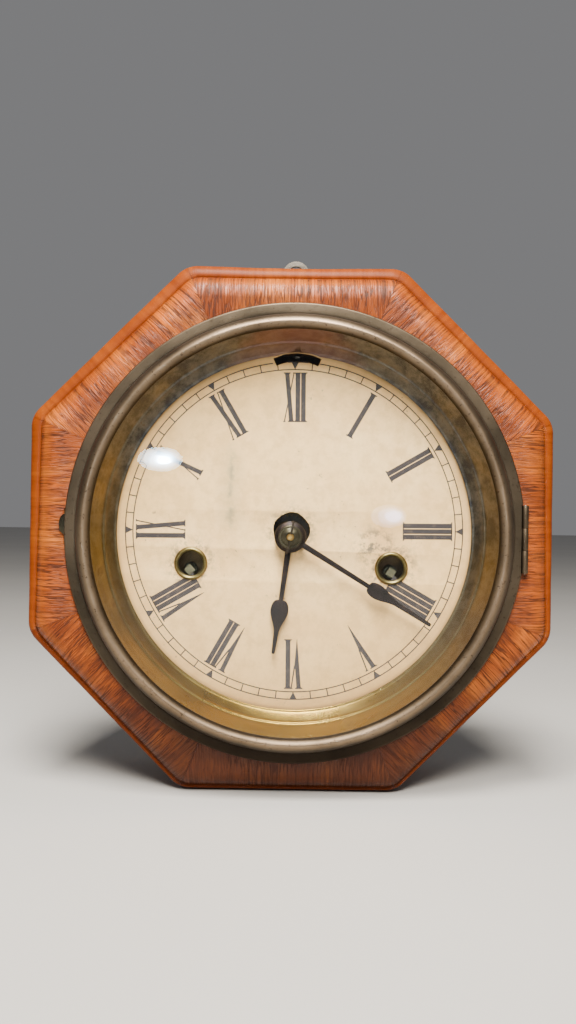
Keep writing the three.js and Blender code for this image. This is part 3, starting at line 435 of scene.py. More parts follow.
def make_veneer():
    """Cross-banded veneer, checked with age, under old varnish, with painted shade on the lower rails. The
    attribute "grain" holds the distance along a side, the distance across it (along the grain) and a
    number for the side; the other attribute holds dirt in the mitres and painted shade in the quirk and
    next to the bezel, rubbing, and how far a point is on the checked face."""
    s = Shader("cross_banded_veneer", IOR=1.5, Coat_Weight=0.08, Coat_Roughness=0.3)
    grain = s.attribute("grain")
    dirt, rub, on_face = s.parts(s.attribute("wear_and_painted_light"))
    broad = s.stretched(grain, (70, 30, 1), 3, 0.5, 0.5)
    streaks = s.stretched(grain, (420, 46, 3), 4, 0.6, 0.5)
    s.colour = s.ramp(broad, (0.3, (120, 51, 8)), (0.52, (158, 74, 12)), (0.72, (190, 102, 24)))
    s.paint(s.fade(streaks, 0.35, 0.55, 0.55, 0.0), (80, 26, 0))

    def lines(scale, width, seed):
        field = s.stretched(grain, scale, 2, 0.5, 0.2, start=(seed, seed, 0))
        off = s.math("ABSOLUTE", s.minus(field, 0.5))
        return s.ramp(off, (0.0, 1.0), (width * 0.4, 1.0), (width, 0.0))

    patches = s.stretched(grain, (110, 90, 2), 3, 0.6)
    coarse = s.times(lines((680, 50, 5), 0.052, 0.0), s.fade(patches, 0.36, 0.52, 0.5, 1.0))
    fine = s.times(lines((1100, 80, 9), 0.055, 3.7), s.fade(patches, 0.3, 0.6, 1.0, 0.3))
    checks = s.times(s.larger(coarse, s.times(fine, 0.75)), on_face)
    s.paint(s.times(checks, 0.82), (34, 12, 2))
    # Painted shade in the quirk and next to the bezel, and dirt in the mitres, laid on in patches.
    smear = s.noise(s.place(), 38, 4, 0.6)
    grime_and_shade = s.times(dirt, s.fade(smear, 0.35, 0.65, 0.45, 0.9))
    s.paint(s.times(grime_and_shade, 0.7), (58, 21, 4))
    s.paint(s.times(rub, s.fade(smear, 0.42, 0.6, 0.0, 0.3)), (178, 92, 6))
    # Painted shade: the veneer darkens from 50 mm under the middle, fully from 100 mm down, for the shade
    # on the lower rails.
    height = s.parts(s.place())[2]
    s.paint(s.fade(s.plus(height, 0.5), 0.4, 0.45, 0.86, 0.0), (46, 14, 0))
    s.paint(s.times(s.minus(1.0, on_face), 0.7), (98, 38, 0))
    scuffs = s.fade(s.noise(s.place(), 160, 3, 0.7, 1.2), 0.6, 0.7, 0.0, 0.25)
    rough = s.plus(s.times(checks, 0.3), s.plus(scuffs, 0.58))
    swell = s.stretched(grain, (520, 90, 4), 3, 0.55, 0.3)
    swell = s.times(swell, s.plus(s.times(on_face, 0.85), 0.15))
    ripple = s.bump(s.minus(swell, s.times(checks, 0.45)), 0.55, 0.0007)
    return s.done(
        Roughness=s.minus(rough, s.times(on_face, 0.2)),
        Specular_IOR_Level=s.plus(s.times(on_face, 0.14), 0.08),
        Normal=s.bump(broad, 0.5, 0.0006, Normal=ripple),
        Coat_Normal=ripple,
    )


def make_wood(name, grain, rings, tones, fibre, worn, soil, dull):
    """Plain wood: broad rings, fine fibres and soiled patches. "rings" and "fibre" hold the
    scale along each axis of the grain; "dull" holds the roughness and the relief of the fibres."""
    s = Shader(name, IOR=1.45)
    grain = s.attribute(grain) if grain else s.place()
    rings = s.stretched(grain, rings[0], 4, 0.55, rings[1])
    fibre = s.stretched(grain, fibre, 3, 0.6)
    s.colour = s.ramp(rings, *tones)
    s.paint(s.fade(fibre, 0.35, 0.6, worn[0], 0.0), worn[1])
    s.paint(s.fade(s.noise(s.place(), *soil[0]), *soil[1], 0.0), soil[2])
    rough = s.plus(s.times(fibre, dull[0]), dull[1])
    return s.done(Roughness=rough, Normal=s.bump(fibre, dull[2], dull[3]))


def make_patina():
    """Old brass gone brown, rubbed brighter on its crown, with painted shade along its bottom. An
    attribute holds how much it is rubbed
    and how dark it is: patina deep in corners, painted shade along the bottom and over the glass keeper."""
    s = Shader("aged_bezel_brass", Metallic=1.0)
    rub, corner, _ = s.parts(s.attribute("wear_and_painted_light"))
    cloud = s.noise(s.place(), 34, 5, 0.62, 0.5)
    speck = s.noise(s.place(), 620, 3, 0.6)
    s.colour = s.mix(s.fade(cloud, 0.35, 0.65), (66, 59, 48), (94, 83, 68))
    shine = s.times(rub, s.fade(cloud, 0.25, 0.6, 0.75, 1.0))
    s.paint(shine, s.mix(s.fade(cloud, 0.3, 0.7), (118, 100, 80), (148, 127, 103)))
    s.paint(s.times(s.fade(speck, 0.3, 0.4, 1.0, 0.0), 0.7), (52, 40, 32))
    # Dark patina in the corners, and painted shade along the bezel's bottom and over the glass keeper.
    s.paint(s.times(corner, 0.9), (28, 22, 18))
    rough = s.plus(s.minus(0.48, s.times(shine, 0.14)), s.times(cloud, 0.1))
    return s.done(Roughness=rough, Normal=s.bump(speck, 0.12, 0.0002))


def make_pan_brass():
    """Spun brass: fine rings round the axis, with tarnished clouds, and darker at the top. "spin" holds
    the distance along the section and the place round the ring; the other attribute holds tarnishing with
    a painted dark reflection at the top, and a painted red reflection."""
    s = Shader("spun_pan_brass", Metallic=1.0)
    spin = s.attribute("spin")
    cloud = s.noise(s.place(), 30, 6, 0.68, 0.4)
    blotch = s.noise(s.place(), 130, 5, 0.7)
    tarnish_and_dark_reflection, painted_red_reflection, _ = s.parts(s.attribute("wear_and_painted_light"))
    bands = s.stretched(spin, (240, 4, 4), 3, 0.6)
    s.colour = s.ramp(bands, (0.35, (108, 86, 32)), (0.6, (130, 105, 45)))
    s.paint(s.fade(cloud, 0.42, 0.64, 0.0, 0.6), (120, 105, 56))
    # The top of the pan is darkened: a painted dark reflection, broken into tarnished clouds.
    tarnish_and_dark_reflection = s.times(tarnish_and_dark_reflection, s.fade(cloud, 0.3, 0.55, 0.78, 1.0))
    s.paint(tarnish_and_dark_reflection, s.ramp(blotch, (0.4, (59, 59, 60)), (0.6, (96, 93, 87))))
    # Painted red reflection by twelve.
    s.paint(s.times(painted_red_reflection, 0.75), (108, 72, 66))
    s.paint(s.times(s.fade(blotch, 0.6, 0.68), 0.5), (70, 52, 34))
    rough = s.plus(s.plus(s.times(tarnish_and_dark_reflection, 0.2), s.times(cloud, 0.22)), 0.16)
    rings = s.stretched(spin, (1500, 9, 9), 4, 0.7)
    return s.done(Roughness=rough, Normal=s.bump(rings, 0.1, 0.0001))


def make_brass(name, light, dark, roughness):
    """Lacquered clock brass with light handling marks, tarnished in clouds."""
    s = Shader(name, Metallic=1.0)
    cloud = s.noise(s.place(), 90, 5, 0.6, 0.3)
    s.colour = s.mix(s.fade(cloud, 0.34, 0.66), dark, light)
    s.paint(s.fade(s.noise(s.place(), 1500, 2, 0.6), 0.3, 0.4, 0.5, 0.0), (70, 54, 34))
    marks = s.bump(s.stretched(s.place(), (260, 260, 2400), 2, 0.5), 0.12, 0.0001)
    return s.done(Roughness=s.plus(s.times(cloud, 0.25), roughness - 0.1), Normal=marks)


def make_steel(name, light, dark, roughness, metallic=1.0):
    """Drawn or filed steel with a little brown spotting."""
    s = Shader(name, Metallic=metallic)
    cloud = s.noise(s.place(), 140, 5, 0.6)
    s.colour = s.mix(s.fade(cloud, 0.35, 0.65), dark, light)
    s.paint(s.fade(s.noise(s.place(), 420, 4, 0.65), 0.62, 0.7, 0.0, 0.7), (92, 60, 40))
    marks = s.bump(s.stretched(s.place(), (300, 300, 3600), 2, 0.5), 0.15, 0.0001)
    return s.done(Roughness=s.plus(s.times(cloud, 0.22), roughness - 0.08), Normal=marks)


def make_blued():
    """Blued steel gone nearly black, brown where the blueing has worn through."""
    s = Shader("blued_steel", Metallic=0.85)
    cloud = s.noise(s.place(), 170, 5, 0.65)
    s.colour = s.ramp(cloud, (0.3, (30, 27, 28)), (0.6, (46, 39, 38)), (0.75, (76, 58, 48)))
    pits = s.bump(s.noise(s.place(), 900, 3, 0.6), 0.2, 0.0002)
    return s.done(Roughness=s.plus(s.times(cloud, 0.3), 0.3), Normal=pits)


def make_paper():
    """Printed dial paper, yellowed, with foxing, a faint drip, and dirt round its holes."""
    s = Shader("dial_paper", Roughness=0.62, IOR=1.45)
    place = s.place()
    broad = s.fade(s.noise(place, 9, 3, 0.5), 0.38, 0.62)
    s.colour = s.mix(broad, (247, 200, 128), (254, 213, 150))
    s.paint(s.fade(s.noise(place, 36, 5, 0.6), 0.44, 0.7, 0.0, 0.55), (232, 182, 112))
    s.paint(s.fade(s.noise(place, 150, 5, 0.7), 0.38, 0.56, 0.45, 0.0), (214, 168, 106))
    foxing = s.fade(s.noise(place, 420, 3, 0.7), 0.655, 0.7, 0.0, 0.75)
    s.paint(s.times(foxing, s.fade(s.noise(place, 44, 2, 0.5), 0.5, 0.6)), (146, 116, 84))
    rim = s.minus(1.0, s.spot(DIAL, 73, 81))
    tint = s.larger(s.spot((43, -4), 2, 13), s.times(s.spot((8, -12), 1, 11), 0.6))
    tint = s.larger(s.times(tint, 0.75), s.times(rim, 0.8))
    s.paint(s.times(tint, 0.7), (196, 146, 86))
    s.paint(s.minus(1.0, s.spot(DIAL, PAPER_RADIUS, PAPER_RADIUS + 0.4)), (84, 62, 42))
    smut = s.fade(s.noise(place, 260, 5, 0.75), 0.46, 0.6)
    dirt = s.spot(middle("winding_grommet_time"), 7, 14)
    for hole in (middle("winding_grommet_strike"), CENTRE_HOLE):
        dirt = s.larger(dirt, s.spot(hole, 7, 13))
    dirt = s.larger(dirt, s.times(s.spot((38, -8), 3, 11), 1.3))
    s.paint(s.times(dirt, smut), (112, 98, 78))
    across, _, up = s.parts(place)
    wander = s.times(s.stretched(place, (0, 0, 90), 3, 0.6), 0.005)
    off = s.math("ABSOLUTE", s.minus(s.plus(across, 0.0297), wander))
    height = s.ramp(s.plus(up, 0.5), (0.495, 0.0), (0.503, 1.0), (0.53, 1.0), (0.54, 0.0))
    drip = s.times(s.fade(off, 0.0, 0.0009, 0.85, 0.0), height)
    drip = s.times(drip, s.fade(s.noise(place, 170, 3, 0.6), 0.36, 0.6, 0.1, 1.0))
    wash = s.times(s.fade(off, 0.0, 0.008, 0.35, 0.0), height)
    s.paint(s.larger(drip, wash), (150, 136, 106))
    return s.done(Normal=s.bump(s.noise(place, 1300, 4, 0.6), 0.1, 0.0001))


def make_ink():
    """Printing ink in fine hatching, so the numerals look grey-brown."""
    s = Shader("dial_ink", Roughness=0.6)
    place = s.place()
    wave = {"Vector": place, "Scale": 620.0, "Distortion": 0.6}
    hatch = s.add("TexWave", wave, bands_direction="DIAGONAL").outputs["Fac"]
    s.colour = s.mix(s.fade(hatch, 0.25, 0.75), (32, 28, 31), (60, 52, 53))
    s.paint(s.fade(s.noise(place, 500, 3, 0.6), 0.5, 0.8, 0.0, 0.5), (104, 88, 78))
    return s.done()


def make_glass():
    """Thin old window glass: clear straight through, with its own gloss on the outer face."""
    s = Shader("bezel_glass")
    clear = s.add("BsdfTransparent", {"Color": (0.975, 0.985, 0.98, 1)})
    gloss = s.add("BsdfGlossy", {"Color": (1, 1, 1, 1), "Roughness": 0.0})
    outer_face = s.minus(1.0, s.add("NewGeometry", {}).outputs["Backfacing"])
    sheen = s.times(s.add("Fresnel", {"IOR": 1.5}).outputs[0], 0.6)
    sheen = s.times(sheen, outer_face)
    mix = s.add("MixShader", {0: sheen, 1: clear.outputs[0], 2: gloss.outputs[0]})
    s.tree.nodes.remove(s.base)
    s.tree.links.new(mix.outputs[0], s.tree.nodes["Material Output"].inputs["Surface"])
    return s.material


VENEER = make_veneer()
PLAIN_WOOD = make_wood(
    "stained_softwood", "grain", ((7, 110, 60), 1.4),
    ((0.3, (64, 34, 18)), (0.5, (104, 62, 34)), (0.7, (132, 84, 48))),
    (30, 900, 500), (0.5, (44, 22, 12)), ((22, 4, 0.6), (0.4, 0.62, 0.45), (40, 24, 15)),
    (0.3, 0.5, 0.5, 0.0003),
)
BACK_WOOD = make_wood(
    "bare_pine_board", None, ((60, 60, 5), 1.6),
    ((0.3, (98, 64, 38)), (0.52, (142, 100, 64)), (0.7, (168, 124, 82))),
    (700, 700, 24), (0.4, (66, 40, 24)), ((16, 5, 0.65), (0.38, 0.62, 0.6), (58, 40, 28)),
    (0.25, 0.6, 0.45, 0.0004),
)
PATINA = make_patina()
PAN_BRASS = make_pan_brass()
BRASS = make_brass("clock_brass", (198, 160, 92), (150, 112, 60), 0.3)
EYELET_BRASS = make_brass("eyelet_brass", (146, 130, 82), (98, 88, 56), 0.36)
BELL_METAL = make_brass("bell_metal", (178, 164, 126), (128, 112, 82), 0.28)
STEEL = make_steel("filed_steel", (150, 148, 146), (108, 104, 102), 0.36)
ZINC = make_steel("plated_iron", (106, 101, 94), (72, 68, 61), 0.55)
DULL_STEEL = make_steel("dull_steel", (128, 124, 98), (86, 84, 66), 0.5, 0.5)
BLUED = make_blued()
BLACKENED = make_steel("blackened_steel", (84, 78, 72), (44, 41, 38), 0.42)
WASHER_BRASS = make_brass("washer_brass", (92, 87, 70), (46, 44, 37), 0.34)
DARK_BRASS = make_brass("dark_brass", (110, 92, 66), (62, 52, 40), 0.45)
PAPER = make_paper()
INK = make_ink()
GLASS = make_glass()


# ------------------------------------------------------------------ case

def rail_section():
    """The moulding's section: (distance out from the middle, depth, darkening, rub) in millimetres.
    The darkening is painted shade, deepest in the quirk and next to the bezel.
    """
    points = [(INNER_APOTHEM, FRAME_BACK, 0, 0), (APOTHEM - 0.8, FRAME_BACK, 0, 0)]
    points += [(APOTHEM - 0.25, FRAME_BACK + 0.25, 0, 0), (APOTHEM, FRAME_BACK + 0.8, 0, 0)]
    points.append((APOTHEM, 55.5, 0.1, 0))
    round_wide, round_deep = 4.2, 4.5
    for i in range(9):
        angle = math.radians(8 + 74 * i / 8)
        out = APOTHEM - round_wide + round_wide * math.cos(angle)
        points.append((out, 57.6 + round_deep * math.sin(angle), 0.1, 0.6 * math.sin(2 * angle)))
    # The quirk's points and the face's ends are darkened: painted shade in the groove and next to the
    # bezel.
    points += [(QUIRK, 62.0, 0.5, 0), (113.3, 61.8, 0.7, 0), (112.95, 62.0, 0.6, 0)]
    curve = list(zip((112.6, 62.6), (110.9, 69.3), (FACE_INNER, LAND)))
    for i in range(13):
        t = i / 12
        out, depth = ((1 - t) ** 2 * a + 2 * t * (1 - t) * b + t * t * c for a, b, c in curve)
        dirt = max(0.0, 0.4 - 3 * t) + max(0.0, 4 * t - 3.3)
        points.append((out, depth, min(dirt, 1.0), max(0.0, 1 - abs(t - 0.45) * 4)))
    points += [(98.5, LAND, 0.7, 0), (INNER_APOTHEM + 0.4, LAND, 0.5, 0)]
    points.append((INNER_APOTHEM, LAND - 0.4, 0.3, 0))
    return points


def strip_width(angle):
    """The plain edge strip is uneven round the clock: wide at the top, narrow at the bottom."""
    return 3.7 + 2.3 * math.sin(angle) - 0.35 * math.cos(angle)


def uneven(out, angle):
    """Moves a point of the section so that the quirk falls at the strip's own width. The edge
    is rubbed a little low along the top."""
    here = APOTHEM - strip_width(angle)
    if out >= QUIRK:
        from_top = math.degrees(angle) % 360 - 90
        edge = APOTHEM - TOP_SAG * math.exp(-(from_top / 20) ** 2)
        return here + (out - QUIRK) * (edge - here) / (APOTHEM - QUIRK)
    if out > FACE_INNER:
        return FACE_INNER + (out - FACE_INNER) * (here - FACE_INNER) / (QUIRK - FACE_INNER)
    return out


def make_rail(name, side, section, corner_round=CORNER_ROUND):
    """One side of a mitred octagon: the section swept along it, its outer corners eased."""
    straight, eased = 24, 6
    verts = []
    turn = side * 2 * HALF_SIDE
    for out, depth, *_ in section:
        ease = max(0.4, corner_round * (1 - (APOTHEM - out) / 30))
        core = out - ease
        edge = core * MITRE
        angles = [HALF_SIDE * i / eased for i in range(eased + 1)]
        corner = [(core + ease * math.cos(a), edge + ease * math.sin(a)) for a in angles]
        row = [(outward, -along) for outward, along in reversed(corner)]
        row += [(out, -edge + 2 * edge * i / straight) for i in range(1, straight)]
        for outward, along in row + corner:
            along -= math.copysign(min(MITRE_GAP, abs(along)), along)
            wobble = 0.07 * math.sin(along * 0.19 + side * 2.1) * min(1, (out - INNER_APOTHEM) / 8)
            outward -= max(0.0, wobble)
            if depth > FRAME_BACK + 1:
                shifted = outward + uneven(out, turn + math.atan2(along, outward)) - out
                along *= shifted / outward
                outward = shifted
            x = outward * math.cos(turn) - along * math.sin(turn)
            z = outward * math.sin(turn) + along * math.cos(turn)
            verts.append((x, -depth, z))
    rows = len(section)
    across = len(verts) // rows
    faces = []
    for i in range(rows):
        here, after = i * across, (i + 1) % rows * across
        for k in range(across - 1):
            faces.append((here + k, here + k + 1, after + k + 1, after + k))
    faces.append([i * across for i in range(rows)])
    faces.append([i * across + across - 1 for i in reversed(range(rows))])
    return mesh_object(name, verts, faces, 40)


def mark_rail(rail, side, section):
    """Stores where each point lies on its side, and how dark (painted shade, and dirt in the mitre joints)
    or rubbed the section is there.
    """
    turn = side * 2 * HALF_SIDE
    grain, wear_and_painted_light = [], []
    for vertex in rail.data.vertices:
        x, depth, z = vertex.co.x / MM, -vertex.co.y / MM, vertex.co.z / MM
        outward = x * math.cos(turn) + z * math.sin(turn)
        along = z * math.cos(turn) - x * math.sin(turn)
        around = turn + math.atan2(along, outward)
        nearest = min(
            section, key=lambda p: (uneven(p[0], around) - outward) ** 2 + (p[1] - depth) ** 2)
        on_face = APOTHEM - strip_width(around) - outward
        grain.append((along * MM, (outward + depth * 0.8) * MM, side * 1.7))
        near_mitre = max(0.0, 1 - (outward * MITRE - abs(along)) / 1.2)
        # Dirt in the mitre joints, on top of the section's painted shade.
        dirt = min(1.0, nearest[2] + 0.8 * near_mitre ** 2)
        wear_and_painted_light.append((dirt, nearest[3], min(1.0, max(0.0, on_face))))
    set_vector_attribute(rail, "grain", grain)
    set_vector_attribute(rail, "wear_and_painted_light", wear_and_painted_light)


def make_frame():
    """The eight veneered rails, with recesses for the hinge leaf and the catch's keeper."""
    section = rail_section()
    names = ("right", "top_right", "top", "top_left", "left", "bottom_left", "bottom", "bottom_right")
    hinge = span("hinge_leaf_case")
    keeper = span("catch_keeper")
    floor = LAND - 1
    for side, name in enumerate(names):
        node = "frame_rail_" + name
        rail = make_rail("veneered_" + name, side, section)
        if name == "right":
            cut_box(rail, (90, floor, hinge[4] - 0.2), (hinge[1] + 0.3, LAND + 3, hinge[5] + 0.2))
        if name == "left":
            cut_box(rail, (keeper[0] - 0.2, floor, keeper[4] - 0.2), (-90, LAND + 3, keeper[5] + 0.2))
        shade(rail.data, 40)
        mark_rail(rail, side, section)
        finish_piece(rail, "case", VENEER, "wood_veneer", node)


def make_box():
    """The box behind the moulding: eight mitred side boards, as one ring."""
    back, front = span("case_box")[2:4]
    inner = BOX_APOTHEM - 9
    section = [
        (inner, back, 0, 0), (BOX_APOTHEM - 0.6, back, 0, 0), (BOX_APOTHEM, back + 0.6, 0.4, 0),
        (BOX_APOTHEM, front - 0.6, 0.6, 0), (BOX_APOTHEM - 0.6, front, 0.4, 0), (inner, front, 0, 0),
    ]
    for side in range(SIDES):
        board = make_rail(f"box_side_{side}", side, section, 0.3)
        mark_rail(board, side, section)
        finish_piece(board, "case", PLAIN_WOOD, "wood_plain", *([] if side else ["case_box"]))


# ------------------------------------------------------------------ dial

def glyphs(text):
    """Outlines of a Roman numeral standing on v = 0, and its width, in millimetres."""
    height = NUMERAL_HEIGHT
    bar, pitch, serif, over = 2.14, 2.5, 0.5, 0.66
    shapes = []

    def close_stroke(left, right, top, reach=over, bracketed=True):
        """A serif across a stroke's end, with small brackets in its corners."""
        v, inward = (height, -1) if top else (0, 1)
        a, b, deep = left - reach, right + reach, v + inward * serif
        shapes.append([(a, v), (b, v), (b, deep), (a, deep)])
        for edge, way in ((left, -1), (right, 1)) if bracketed else ():
            shapes.append([(edge, v), (edge + way * over * 0.7, v), (edge, v + inward * 1.1)])

    pen = 0.0
    for letter, run in itertools.groupby(text):
        count = len(list(run))
        if letter == "I":
            left = pen + over
            for k in range(count):
                x = left + k * pitch
                shapes.append([(x, 0), (x + bar, 0), (x + bar, height), (x, height)])
            right = left + (count - 1) * pitch + bar
            for top in (False, True):
                close_stroke(left, right, top)
            pen = right + over * 0.9
        if letter == "V":
            apex = pen + 2.4
            shapes.append([
                (apex - 1.9, height), (apex + 0.1, height), (apex + 0.74, height * 0.6),
                (apex + 1.2, height * 0.57), (apex + 0.1, 0), (apex - 0.06, 0),
            ])
            shapes.append([
                (apex + 2.3, height), (apex + 2.82, height), (apex + 1.3, height * 0.53),
                (apex + 0.8, height * 0.57),
            ])
            close_stroke(apex - 1.9, apex + 0.1, True)
            close_stroke(apex + 2.56, apex + 2.56, True, bracketed=False)
            pen = apex + 2.3
        if letter == "X":
            centre = pen + 2.9
            for top_at, half in ((-1.0, 1.0), (2.15, 0.26)):
                shapes.append([
                    (centre + top_at - half, height), (centre + top_at + half, height),
                    (centre - top_at + half, 0), (centre - top_at - half, 0),
                ])
            for way, top in ((-1, True), (1, False)):
                thick, thin = centre + way, centre - way * 2.15
                close_stroke(thick - 1, thick + 1, top, over * 0.8)
                close_stroke(thin, thin, top, over * 0.8, False)
            pen = centre + 2.15
    return shapes, pen


def on_face(out, clock_degrees, across=0.0):
    """A point of the print, by its distance from the middle and its place on the clock."""
    turn = math.radians(clock_degrees)
    x = DIAL[0] + out * math.sin(turn) + across * math.cos(turn)
    return (x, DIAL[1] + PRINT_LIFT + out * math.cos(turn) - across * math.sin(turn))


def sector(inner, outer, start, end):
    return [on_face(inner, start), on_face(outer, start), on_face(outer, end), on_face(inner, end)]


def in_slot(x, z):
    """Whether a point of the print would fall in the slot, by more than a hair."""
    across, up = x - SLOT_CENTRE[0], z - SLOT_CENTRE[1]
    clear = SLOT_INNER + 0.35 < math.hypot(across, up) < SLOT_OUTER
    return clear and up > 0 and abs(math.degrees(math.atan2(across, up))) < SLOT_HALF


def printed_shapes():
    """The minute track in short pieces, its hour marks, and the numerals, as outlines."""
    shapes = []
    for radius in (TRACK_INNER, TRACK_OUTER):
        low, high = radius - TRACK_LINE / 2, radius + TRACK_LINE / 2
        shapes += [sector(low, high, degree, degree + 1) for degree in range(360)]
    tick_parts = 8
    step = (TRACK_OUTER - TRACK_INNER) / tick_parts
    for minute in range(60):
        at = minute * 6 + PRINT_TURN
        if minute % 5:
            half = math.degrees(TRACK_LINE / 2 / TRACK_INNER)
            for part in range(tick_parts):
                low = TRACK_INNER + step * part
                shapes.append(sector(low, low + step, at - half, at + half))
        else:
            half = math.degrees(HOUR_MARK / 2 / TRACK_OUTER)
            base = [on_face(TRACK_OUTER, at - half), on_face(TRACK_OUTER, at + half)]
            shapes.append(base + [on_face(TRACK_INNER, at)])
    numerals = ("I", "II", "III", "IIII", "V", "VI", "VII", "VIII", "IX", "X", "XI", "XII")
    for hour, text in enumerate(numerals, 1):
        outlines, width = glyphs(text)
        foot, at = NUMERAL_TOP - NUMERAL_HEIGHT, hour * 30 + PRINT_TURN
        shapes += [[on_face(foot + v, at, u - width / 2) for u, v in outline] for outline in outlines]
    return shapes


def make_print():
    """The printing, as one thin layer of ink on the paper. Its pieces differ a hair in height,
    so that no two overlap in one plane."""
    verts, faces = [], []
    for number, points in enumerate(printed_shapes()):
        if any(in_slot(x, z) for x, z in points):
            continue
        start, count = len(verts), len(points)
        for depth in (DIAL_FRONT + 0.03 + 0.0004 * (number % 5), DIAL_FRONT + 0.005):
            verts += [(x, -depth, z) for x, z in points]
        faces.append(list(range(start, start + count)))
        faces.append(list(range(start + 2 * count - 1, start + count - 1, -1)))
        for k in range(count):
            n = (k + 1) % count
            faces.append((start + k, start + n, start + count + n, start + count + k))
    ink = mesh_object("dial_print", verts, faces, 20)
    finish_piece(ink, "case", INK, "dial")


def slot_outline(room=0.0):
    """The crescent slot by twelve, or a little more than it, for the pan's notch."""
    inner, outer, half = SLOT_INNER - room, SLOT_OUTER + room, SLOT_HALF + 2 * room
    points = arc(SLOT_CENTRE, outer, 90 - half, 90 + half, 24)
    return points + arc(SLOT_CENTRE, inner, 90 + half, 90 - half, 24)


def make_dial():
    """Zinc plate and printed paper in one piece, its centre hole a little ragged."""
    outlines = [ring_points(DIAL, round_span("dial_plate")[0], 160)]
    for side in ("time", "strike"):
        outlines.append(ring_points(middle("winding_grommet_" + side), WINDING_HOLE_RADIUS, 40))
    ragged = []
    for i in range(64):
        angle = 2 * math.pi * i / 64
        reach = CENTRE_HOLE_RADIUS + 0.16 * math.sin(5 * angle + 1) + 0.12 * DRAW.uniform(-1, 1)
        ragged.append((CENTRE_HOLE[0] + reach * math.cos(angle), CENTRE_HOLE[1] + reach * math.sin(angle)))
    outlines += [ragged, slot_outline()]
    dial = plate("dial_face", outlines, DIAL_BACK, DIAL_FRONT - DIAL_BACK, 0.06, 1)
    finish_piece(dial, "case", PAPER, "dial", "dial_plate")
    make_print()


def ring_wear_and_painted_light(obj, at, wear_and_painted_light_of):
    """Stores an attribute of rubbing, darkening and painted light from each point's radius, depth and
    direction, and "spin" for spun metal.
    """
    wear_and_painted_light, spin = [], []
    for vertex in obj.data.vertices:
        x, depth, z = vertex.co.x / MM - at[0], -vertex.co.y / MM, vertex.co.z / MM - at[1]
        radius = math.hypot(x, z)
        angle = math.atan2(x, z)
        wear_and_painted_light.append((*wear_and_painted_light_of(radius, depth, angle), 0))
        spin.append(((radius + depth) * MM, math.cos(angle) * 0.1, math.sin(angle) * 0.1))
    set_vector_attribute(obj, "wear_and_painted_light", wear_and_painted_light)
    set_vector_attribute(obj, "spin", spin)


def make_pan():
    """The brass pan: a lip on the dial, a narrow step, a bead ridge and a wide sloping wall."""
    inner, outer = 79.5, span("dial_pan")[1] - DIAL[0]
    front = span("dial_pan")[3]
    wall = [
        (inner, 62.6), (80.6, 62.8), (83.7, 66.3), (84.2, 67.2), (84.8, 67.3), (85.3, 67.9),
        (89.5, front - 0.5), (outer - 0.6, front),
    ]
    back = [(outer, front - 0.7), (85.9, 66.8), (84.6, 65.6), (81, 61.7), (inner, 61.7)]
    profile = filleted(wall + back, 0.5, 3)
    pan = revolve("brass_pan", profile, DIAL, 256, 50)
    subtract(pan, plate("notch", [slot_outline(0.4)], 60, 3.6, 0.05, 1))
    shade(pan.data, 50)

    def wear_and_painted_light_of(radius, depth, angle):
        upward = 0.5 + 0.5 * math.cos(angle - math.radians(12))
        low_band = 1.0 if radius < 84.3 else 0.0
        # Darkest at the top, and on the narrow step's upper half: a painted dark reflection, with
        # tarnishing.
        tarnish_and_dark_reflection = 1.15 * upward ** 0.85 + 0.3 * low_band * upward
        # Painted red reflection: strongest by twelve, narrowing outwards.
        reach = 24 - 1.1 * (radius - 80)
        warm = max(0.0, 1 - abs(math.degrees(angle)) / reach) ** 0.4 * (0.9 - 0.2 * low_band)
        return (min(1.0, tarnish_and_dark_reflection), warm)

    ring_wear_and_painted_light(pan, DIAL, wear_and_painted_light_of)
    finish_piece(pan, "case", PAN_BRASS, "brass", "dial_pan")


def make_grommets():
    """The rolled brass eyelets of the two winding holes."""
    for side in ("time", "strike"):
        node = "winding_grommet_" + side
        outer, back, front = round_span(node)
        bore = EYELET_BORE
        profile = [
            (bore, back), (bore + 0.8, back), (bore + 0.8, DIAL_FRONT + 0.15),
            (outer - 0.15, DIAL_FRONT + 0.15), (outer, DIAL_FRONT + 0.4), (outer - 0.7, front - 0.1),
            (bore + 0.9, front), (bore, front - 0.7),
        ]
        ring = revolve("eyelet_" + side, filleted(profile, 0.35, 3), middle(node), 96, 50)
        finish_piece(ring, "case", EYELET_BRASS, "brass", node)


# ------------------------------------------------------------------ bezel

